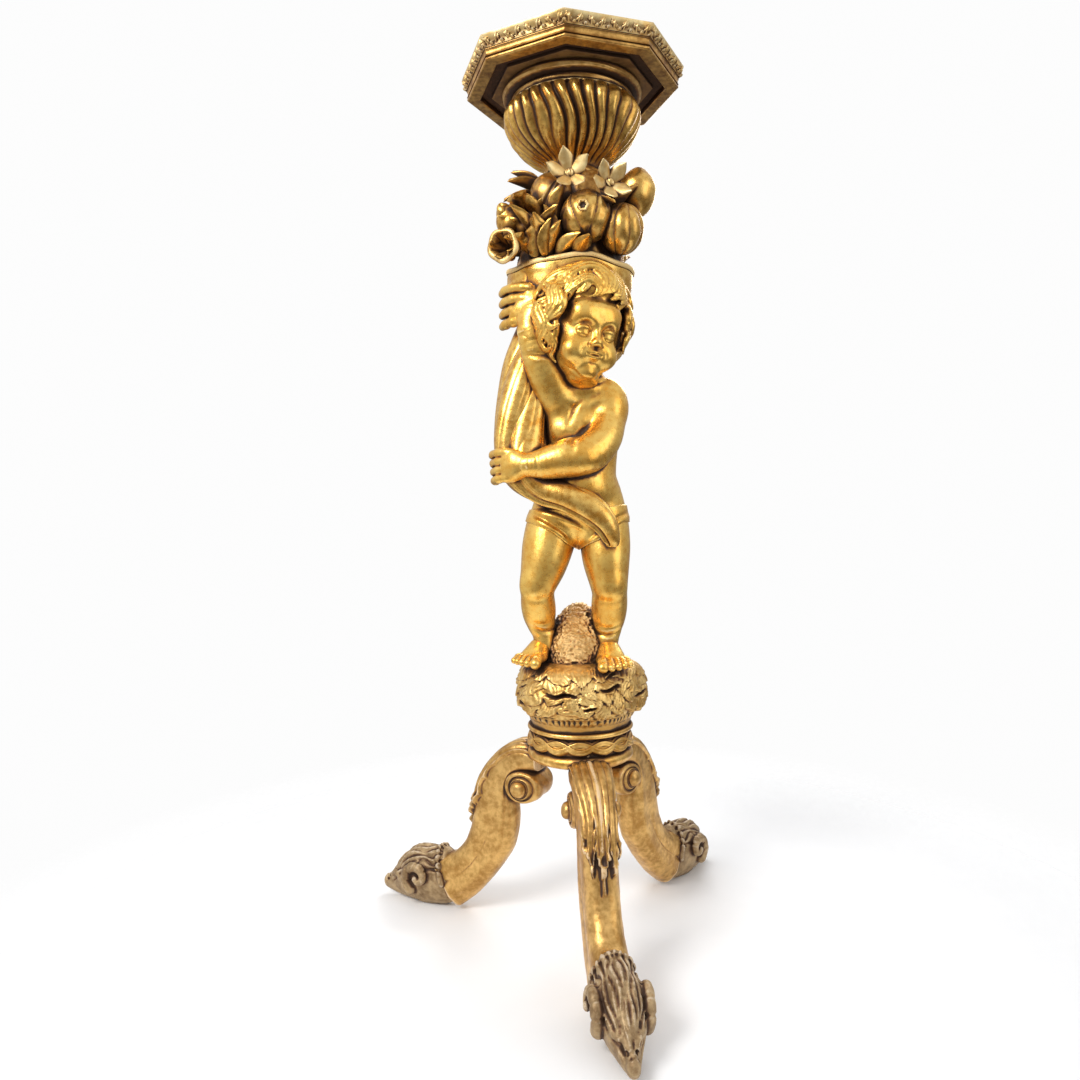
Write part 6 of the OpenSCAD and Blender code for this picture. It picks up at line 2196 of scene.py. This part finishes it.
@dataclass
class Cluster:
    """Fruit, flowers and leaves that fill the horn and carry the bulb.

    Attributes:
        rim: Height of the horn's rim.
        top: Height of the bulb's foot.
    """

    rim: float
    top: float

    def over(self, x: float, y: float, h: float) -> tuple[float, float, float]:
        """A place by its height over the rim."""
        return x, y, self.rim + h

    def leafy(self, rows: Sequence[tuple[Any, ...]]) -> Shell:
        """Place leaves.

        Args:
            rows: Place over the rim, turn, lift, roll and leaf of each.

        Returns:
            All of them as one shell.
        """
        first, *others = (leaf.shell().moved(placed(*turns), self.over(x, y, h)) for x, y, h, *turns,
                          leaf in rows)
        return first.with_(*others)

    def core(self) -> Shell:
        """Shape the block behind the fruit as rough foliage."""
        h = self.top - self.rim
        knots = ((-5, 5, -28, 52, 40), (-5, 4, -6, 76, 57), (-3, 2, h * 0.2, 71, 54),
                 (0, 0, h * 0.55, 67, 52),
                 (3, 0, h * 0.78, 62, 50), (1, 0, h * 0.9, 48, 44), (0, 0, h, 36, 36))
        run = smoothed([(*self.over(x, y, z), a, b) for x, y, z, a, b in knots], 14)

        def relief(share: np.ndarray, angle: np.ndarray) -> np.ndarray:
            """Height of the rough leaves."""
            wave = np.cos(angle * 18 + np.sin(share * 22) * 1.5)
            return wave * 1.6 * ease(share, 0.2, 0.3) * (1 - ease(share, 0.85, 1)) - 1.5

        return skin(rings_along(run, 180, relief))

    def pomegranate(self) -> Shell:
        """Shape the pomegranate with its seams and its crown."""
        body = ball((34, 34, 34), lambda a, d: 0.5 * np.sin(7 * a) * np.sin(d) + pit(d, 0, 0.18, 3)
                    + seam(a, 3.5 + 0.4 * d) * np.sin(d) + seam(a, 5.6 - 0.3 * d) * np.sin(d), 120)
        profile = ((11, -3), (10.4, 0), (8.6, 3), (8.4, 5), (9.0, 7), (7.6, 8.2), (5.6, 7.0), (4.6, 4),
                   (0.4, 3.2))
        crown = turned_piece(profile, 60, lambda a, z: 0.7 * np.cos(6 * a) * ease(z, 3, 7))
        crown.points = crown.points * (0.8, 0.8, 0.75)
        return body.with_(crown.moved(turned(94, 0, -6), (-4, -32.2, 3)))

    def fruits(self, bench: Bench) -> None:
        """Carve the six fruits.

        Args:
            bench: Where the pieces go.
        """
        melon = ball((29, 31, 33), lambda a, d: 3.4 * (
            np.abs(np.cos(4 * a + 0.3 * np.sin(2 * d))) ** 0.55 - 0.75) * np.sin(d), 144)
        pear = ball((26, 27, 36), lambda a, d: -5 * ease(np.cos(d), 0.1, 0.95) + pit(d, math.pi, 0.2, 3))
        apple = ball((30, 30, 28), lambda a, d: pit(d, 0, 0.35, 6) + seam(a, 4.0) + pit(d, math.pi, 0.3, 3))
        peach = ball((30, 30, 30), lambda a, d: seam(a, 4.4) * 1.3 + pit(d, 0, 0.3, 4))
        quince = ball((31, 31, 33), lambda a, d: 0.8 * np.cos(5 * a) * np.sin(d) + pit(d, 0, 0.3, 4))
        for name, shell, turn, at, finish in (
                ("ripe_pomegranate", self.pomegranate(), (0, 0, 0), (17, -56, 54), Finish.FRUIT),
                ("ribbed_melon", melon, (18, 8, 0), (64, -44, 40), Finish.FRUIT),
                ("round_pear", pear, (0, 6, 0), (87, -14, 101), Finish.FRUIT),
                ("dark_apple", apple, (50, 0, 30), (-28, -38, 90), Finish.BROWN),
                ("cleft_peach", peach, (-40, 0, -120), (-42, 50, 46), Finish.FRUIT),
                ("knobbed_quince", quince, (-30, 0, 0), (36, 50, 52), Finish.FRUIT)):
            made = shell.roughened((13, 4, 0.7)).moved(turned(*turn), self.over(*at))
            bench.keep(name, made, finish, name.split("_")[1])

    def star(self, size: float) -> Shell:
        """Shape a star flower of five petals, which looks along +X."""
        petal = Leaf(size, size * 0.62, 3.4, 0.20, 0.10, 0.45, 0.9).shell()
        petals = [petal.moved(turned(72 * i + askew) @ turned(y=-62 - 5 * (i % 2)))
                  for i, askew in enumerate((5, -4, 3, -6, 2))]
        boss = ball((5.5, 6.5, 6.5), lambda a, d: 0.8 * np.cos(8 * a) * np.sin(d), 48)
        return boss.moved(place=(2.5, 0, 0)).with_(*petals)

    def trumpet(self) -> Shell:
        """Shape the flared trumpet flower, which looks along +X."""
        profile = ((6, -22), (9, -16), (13, -7), (18, 3), (21.5, 9), (23, 13), (21.5, 16), (17.5, 16.5),
                   (14, 14), (12, 8), (11, 0), (9, -8), (0.4, -10))
        cup = turned_piece(profile, 90, lambda a, z: 1.0 * np.cos(5 * a) * ease(z, 2, 14))
        petal = Leaf(36, 27, 4.0, 0.30, 0.2, 0.6, 1.0).shell()
        return cup.moved(turned(y=90)).with_(*(
            petal.moved(turned(72 * i + 12) @ turned(y=-40), (-12, 0, 0)) for i in range(5)))

    def flowers(self, bench: Bench) -> None:
        """Carve the flowers and the bud.

        Args:
            bench: Where the pieces go.
        """
        inner = ball((11, 10, 14), lambda a, d: 1.6 * np.abs(np.sin(1.5 * a - d * 2)) - 0.7, 64)
        bud = ball((19, 18, 21), lambda a, d: 2.4 * np.abs(np.sin(1.5 * a + d * 1.6)) - 1.2).with_(
            inner.moved(turned(y=40), (10, -3, 7)))
        for name, shell, turn, at, finish, node in (
                ("pale_star_1", self.star(34), (-92, 10, 10), (-4, -73, 103), Finish.PALE,
                 "front_star_flower"),
                ("pale_star_2", self.star(33), (-68, 4, 30), (46, -66, 92), Finish.PALE, "side_star_flower"),
                ("flared_trumpet", self.trumpet(), (-112, -4), (-88, -50, 19), Finish.FRUIT,
                 "trumpet_flower"),
                ("folded_bud", bud, (-130, 10), (-84, -36, 58), Finish.FRUIT, "rose_bud")):
            bench.keep(name, shell.moved(placed(*turn), self.over(*at)), finish, node)

    def leaves(self, bench: Bench) -> None:
        """Carve the groups of leaves.

        Args:
            bench: Where the pieces go.
        """
        wide, slim = Leaf(50, 32, 5, 0.2, 0.28, 0.1, 1.8, 3), Leaf(46, 25, 5, 0.16, 0.3, 0.25, 1.6)
        finger = Leaf(42, 25, 9, 0.4, 0.22, 0.6, 1.9)
        fore = (
            (-34, -52, 4, -60, 58, 0, wide), (-48, -50, 4, -95, 66, 20, wide),
            (-20, -52, 2, -40, 40, -20, slim),
            (-44, -48, 60, -150, 30, 20, slim), (-12, -46, 78, -170, -6, 0, slim),
            (-36, -60, 4, -88, 68, 60, slim),
            (6, -50, 0, -70, 34, 0, slim), (-58, -50, 38, -120, 40, -30, slim),
            (-40, -54, 30, -62, 50, 30, slim),
            (-30, -56, 22, -100, 76, -40, slim), (-22, -54, 52, -70, 70, 20, slim),
            (-62, -44, 66, -110, 16, 24, wide), (-50, -50, 20, -84, 44, -34, wide),
            (28, -40, 76, -60, -4, 10, wide),
            (-54, -42, 12, -140, 24, 20, wide), (-62, -34, 30, -150, 46, -10, wide))
        flank = (
            (-50, -22, 84, -166, -6, 10, finger), (-50, -20, 94, -160, 12, -8, finger),
            (-46, -18, 102, -158, 34, 6, finger), (-44, -14, 106, -170, 52, 0, finger),
            (-52, 10, 84, 165, 20, 0, wide),
            (50, 16, 84, 34, 44, 0, wide), (52, 14, 24, 24, 62, 0, wide), (50, -2, 60, -6, 58, 0, wide),
            (52, 8, 54, 24, 66, 0, slim), (-54, 4, 50, 175, 10, 0, wide), (-56, -2, 22, 190, 6, 0, wide),
            (-52, 6, 30, 170, 40, 0, wide), (54, -30, 66, -30, 50, 20, slim), (56, -10, 14, -4, 70, 0, wide),
            (50, 22, 60, 34, 40, 20, wide), (48, 20, 26, 40, 58, -20, wide), (46, 30, 96, 50, 30, 0, wide),
            (54, 2, 34, 8, 50, 30, slim), (-50, 20, 66, 150, 40, 0, wide), (-56, -10, 64, -170, 30, 0, slim))
        rear = [(-50 + 25 * i, 34, 76 + 8 * (i % 2), 140 - 25 * i, 46, 0, wide) for i in range(5)]
        rear += [(-52 + 26 * i, 38, 2, 140 - 25 * i, 52, 0, wide) for i in range(5)]
        rear += [(-34 + 17 * i, 40, 44, 130 - 20 * i, 34, 0, slim) for i in range(5)]
        bench.keep("fore_foliage", self.leafy(fore), Finish.FRUIT, "front_leaves")
        bench.keep("flank_foliage", self.leafy(flank), Finish.BROWN, "side_leaves")
        bench.keep("rear_foliage", self.leafy(rear), Finish.BROWN, "back_leaves")

    def carve(self, bench: Bench) -> None:
        """Carve the whole cluster onto the bench."""
        bench.keep("foliage_block", self.core(), Finish.BROWN, "cluster_core")
        self.fruits(bench)
        self.flowers(bench)
        self.leaves(bench)


# ---------- Bulb and top ----------


@dataclass
class Top:
    """The collar, the pad, the mitred rails and the leaf moulding.

    Attributes:
        levels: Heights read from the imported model.
        across: Distance across the corners.
        facing: Direction of the front corner, in degrees.
        per_side: Leaves along one side.
        pad_across: Distance across the corners of the pad.
        pad_thick: Thickness of the pad.
        under_inset: How far the board inside the rails stands in.
        board_inset: How far the top board stands in behind the moulding.
    """

    levels: Levels
    across: float = 308
    facing: float = -93
    per_side: int = 4
    pad_across: float = 222
    pad_thick: float = 5
    under_inset: float = 25.3
    board_inset: float = 14.3

    def apothem(self, across: float) -> float:
        """Distance from the axis to a side."""
        return across / 2 * math.cos(HALF_SIDE)

    def collar(self) -> Shell:
        """Turn the collar of two beads, the upper one wider."""
        low, high = self.levels.collar, self.levels.pad
        b = (high - low) / 4
        profile = [(3, low), (70, low), (78, low + 0.4), *arc((79.5, low + b), b, -70, 60),
                   (84.5, low + 2 * b - 1.2),
                   (86.5, low + 2 * b), *arc((90.6, low + 3 * b), b, -60, 70), (90, high), (3, high)]
        return turned_piece(profile, 220, lambda a, z: 0.3 * np.sin(5 * a + z) - 0.3)

    def rails(self) -> Shell:
        """Sweep the rails: a bead, a hollow, and a fillet under the moulding."""
        out, low, high = self.apothem(self.across) - 7, self.levels.rail, self.levels.board
        h = high - low
        profile = [(out - 18, high), (out - 18, low + 1.4), (out - 16.6, low),
                   *arc((out - 3.4, low + 2.6), 2.6, -90, 80, 9), (out - 5.2, low + 5.6),
                   *arc((out + h * 0.33, low + h * 0.62), h * 0.44, 215, 140, 10), (out - 1.6, high - 1.8),
                   (out, high - 1.4), (out, high)]
        return octagon_sweep(profile, self.facing)

    def strip(self) -> Shell:
        """Sweep the ground that the leaves of the moulding stand out from."""
        out, low, high = self.apothem(self.across), self.levels.board, self.levels.top - 1
        profile = [(out - 14, high), (out - 14, low), (out - 6.5, low),
                   *arc((out + 1.5, low + 2.5), 8.0, 200, 130, 8),
                   (out - 1.2, high - 2.4), (out - 1.0, high - 0.6), (out - 1.8, high)]
        return octagon_sweep(profile, self.facing)

    def leaf_unit(self, width: float) -> Shell:
        """Shape one repeat of the moulding: a pair of ragged leaves about deep pits, out along +X.

        Args:
            width: Its width.

        Returns:
            The unit.
        """
        low, high = self.levels.board, self.levels.top - 1
        u = np.linspace(0, 1, 30)[:, None]
        v = np.linspace(-1, 1, 50)[None, :]

        def bump(across: float, down: float, wide: float, tall: float, lean: float = 0) -> np.ndarray:
            """A rounded form on the face of the moulding."""
            a, b = v - across, (u - down) * 1.4
            p, q = a * math.cos(lean) + b * math.sin(lean), b * math.cos(lean) - a * math.sin(lean)
            ragged = 1 + 0.16 * np.sin(6 * np.arctan2(q / tall, p / wide) + 1)
            return np.exp(-(((p / wide / ragged) ** 2 + (q / tall / ragged) ** 2) ** 2))

        leaf = 0.86 + 0.14 * np.cos(20 * v + 7 * u)
        forms = [bump(0, 0.86, 0.20, 0.17) * 0.9, bump(0, 0.13, 0.26, 0.16) * 0.8]
        for m in (-1, 1):
            forms += [bump(m * 0.52, 0.44, 0.30, 0.58, m * 0.45) * leaf, bump(m, 0.84, 0.22, 0.2) * 0.75,
                      bump(m, 0.10, 0.22, 0.14) * 0.8]
        height = np.maximum.reduce(forms)
        slope = 1.5 - 2.5 * (u - 0.35) ** 2 - 2.2 * ease(u, 0.75, 1.0)
        y, z = width / 2 * v, (high - 0.5) + (low - high + 0.8) * u
        front = spread(np.minimum(-8.4 + 7.0 * height + slope * height, -0.2), y, z)
        return skin(np.concatenate([front, spread(-11.5, y, z)[:, ::-1]], axis=1))

    def bulb(self, bench: Bench) -> None:
        """Carve the fluted bulb onto the bench."""
        profile = ((0, 0.37), (0.07, 0.415), (0.2, 0.62), (0.4, 0.825), (0.64, 0.962), (0.84, 1.0),
                   (0.94, 0.965), (1, 0.90))
        bulb = FlutedBulb(profile, self.levels.bulb, self.levels.collar, radius=94.5, flutes=30, depth=8.0,
                          twist=9)
        bench.keep("fluted_bulb", bulb.laid(bench.material(Finish.BULB)), Finish.BULB, "bulb")

    def mouldings(self, bench: Bench) -> None:
        """Carve the leaf mouldings of the eight sides onto the bench.

        Args:
            bench: Where the pieces go.
        """
        sides = [f"moulding_{i}" for i in range(1, 9)]
        bench.keep("moulding_ground", self.strip(), Finish.PALE, *sides, crisp=50)
        out = self.apothem(self.across)
        pitch = 2 * out * math.tan(HALF_SIDE) / self.per_side
        for i, side in enumerate(sides):
            row = Row(self.per_side, (out, -pitch * (self.per_side - 1) / 2, 0), (0, pitch, 0),
                      facing=self.facing + 22.5 + 45 * i, seed=i)
            mesh = row.laid(self.leaf_unit(pitch), bench.material(Finish.PALE))
            bench.keep(f"moulding_leaves_{i + 1}", mesh, Finish.PALE, side)

    def carve(self, bench: Bench) -> None:
        """Carve the bulb, the collar and the whole top onto the bench.

        Args:
            bench: Where the pieces go.
        """
        lv, out = self.levels, self.apothem(self.across)
        pad_top = lv.pad + self.pad_thick
        self.bulb(bench)
        for name, shell, finish, node, crisp in (
                ("ringed_collar", self.collar(), Finish.WORN, "collar", 60),
                ("octagon_pad", self.plate(self.apothem(self.pad_across), lv.pad, pad_top), Finish.SOFFIT,
                 "pad", 30),
                ("under_board", self.plate(out - self.under_inset, pad_top, lv.board), Finish.SOFFIT,
                 "soffit_board", 30),
                ("mitred_rails", self.rails(), Finish.BROWN, "rails", 40),
                ("octagon_board", self.plate(out - self.board_inset, lv.board, lv.top), Finish.WORN,
                 "top_board", 30)):
            bench.keep(name, shell, finish, node, crisp=crisp)
        self.mouldings(bench)

    def plate(self, out: float, low: float, high: float) -> Shell:
        """An octagonal plate that faces as the top does."""
        return octagon_plate(out, low, high, self.facing)


# ---------- Studio ----------


@dataclass(frozen=True)
class Softbox:
    """A soft lamp that looks at the stand.

    Attributes:
        name: Name of the lamp.
        place: Where it hangs, in metres.
        size: Width and height.
        watts: Its power.
        tint: Colour of its light.
    """

    name: str
    place: tuple[float, float, float]
    size: tuple[float, float]
    watts: float
    tint: Colour = (1, 1, 1)

    def hang(self) -> None:
        """Hang the lamp."""
        lamp = bpy.data.lights.new(self.name, "AREA")
        lamp.shape, lamp.size, lamp.size_y = "RECTANGLE", *self.size
        lamp.energy, lamp.color = self.watts, self.tint
        made = put(self.name, lamp)
        made.location = self.place
        made.rotation_euler = (Vector((0, 0, 0.6)) - Vector(self.place)).to_track_quat("-Z", "Y").to_euler()
        made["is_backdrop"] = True


@dataclass
class Studio:
    """A pale studio with soft light, and the camera of the photograph.

    Attributes:
        camera_back: Metres from the axis to the camera.
        lens: Focal length, in millimetres.
        camera_up: Metres from the floor to the camera.
        aim: Its turn, tilt and roll.
    """

    camera_back: float = 1.17
    lens: float = 27.8
    camera_up: float = 0.5983
    aim: tuple[float, float, float] = (-0.045, -0.035, -0.015)

    def world(self) -> None:
        """Light the air: white to the camera, a dim gradient to everything else."""
        air = bpy.data.worlds.new("studio_air")
        tree = Tree.emptied(air)
        x, _, z = tree.out("ShaderNodeTexCoord", {}, {}, "Generated").split()
        glow = tree.mix(z.step(-0.6, 0.9), (0.16, 0.15, 0.145), (0.78, 0.79, 0.81))
        glow = tree.mix((-x).step(0.2, 1.0) * 0.5, glow, (1.0, 1.0, 1.0))
        seen = tree.out("ShaderNodeLightPath", {}, {}, "Is Camera Ray")
        shade = tree.out("ShaderNodeBackground", {}, {
            "Color": tree.mix(seen, glow, (0.98, 0.98, 0.98)), "Strength": 1.0})
        tree.node("ShaderNodeOutputWorld", {}, {"Surface": shade})
        bpy.context.scene.world = air

    def floor(self) -> None:
        """Lay a pale floor that fades out far from the stand."""
        paper = bpy.data.materials.new("pale_paper")
        tree = Tree.emptied(paper)
        grain = Grain(tree)
        tone = tree.mix(grain.noise(60), (0.88, 0.88, 0.88), (0.91, 0.91, 0.91))
        x, y, _ = grain.place.split()
        away = tree.maths("SQRT", x * x + y * y)
        shader = tree.out("ShaderNodeBsdfPrincipled", {}, {
            "Base Color": tone, "Roughness": 0.9, "Alpha": 1.0 - away.step(0.42, 1.0)})
        tree.node("ShaderNodeOutputMaterial", {}, {"Surface": shader})
        mesh = to_mesh("pale_floor", turned_piece([(0.5, -4.0), (1100, -4.0), (1100, -0.4), (0.5, -0.4)], 96))
        mesh.materials.append(paper)
        mesh.set_sharp_from_angle(angle=0.5)
        made = put("pale_floor", mesh)
        made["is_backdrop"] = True

    def camera(self) -> None:
        """Stand the camera where the photograph was taken."""
        yaw, pitch, roll = self.aim
        way = Vector((math.sin(yaw) * math.cos(pitch), math.cos(yaw) * math.cos(pitch), math.sin(pitch)))
        right = Vector((math.cos(yaw), -math.sin(yaw), 0))
        up = right.cross(way)
        across = right * math.cos(roll) + up * math.sin(roll)
        over = up * math.cos(roll) - right * math.sin(roll)
        lens = bpy.data.cameras.new("photo_camera")
        lens.sensor_width, lens.lens = 36.0, self.lens
        lens.clip_start, lens.clip_end = 0.05, 20
        made = put("photo_camera", lens)
        basis = Matrix((across, over, -way)).transposed().to_4x4()
        made.matrix_world = Matrix.Translation((0, -self.camera_back, self.camera_up)) @ basis
        bpy.context.scene.camera = made

    def build(self) -> None:
        """Set up floor, lamps, air and camera."""
        bpy.context.scene.view_settings.view_transform = "Standard"
        self.world()
        self.floor()
        Softbox("key_light", (-1.3, -1.5, 1.9), (0.9, 0.9), 37).hang()
        Softbox("fill_light", (1.7, -1.1, 1.1), (1.2, 1.6), 8, (1.0, 0.99, 0.97)).hang()
        Softbox("back_light", (0.4, 1.8, 1.7), (1.4, 0.8), 20).hang()
        self.camera()


# ---------- The stand ----------


def hide_dowels() -> None:
    """Give the dowels, which stay as the model made them, their bare wood."""
    wood = Finish.WOOD.value.material()
    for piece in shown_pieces():
        if "dowel" in piece.name:
            piece.data.materials.clear()
            piece.data.materials.append(wood)


def main() -> None:
    """Build every sub-assembly in order, gild it, and set up the studio."""
    levels = Levels.read()
    bench = Bench()
    legs = [ScrollLeg(name, turn, levels.drum, levels.drum_r) for name, turn in
            (("front", 9), ("right", 140), ("left", -111))]
    parts = [*legs, Drum(levels.drum, levels.rock, levels.drum_r, levels.braid),
             Rock(levels.rock, levels.sole),
             Stump(levels.sole), Putto(levels.sole), Horn(levels.rim), Cluster(levels.rim, levels.bulb),
             Top(levels)]
    for part in parts:
        LOG.info("Carving %s", type(part).__name__)
        part.carve(bench)
    bench.gild()
    hide_dowels()
    Studio().build()


if __name__ == "__main__":
    logging.basicConfig(level=logging.INFO, format="%(name)s: %(message)s")
    main()
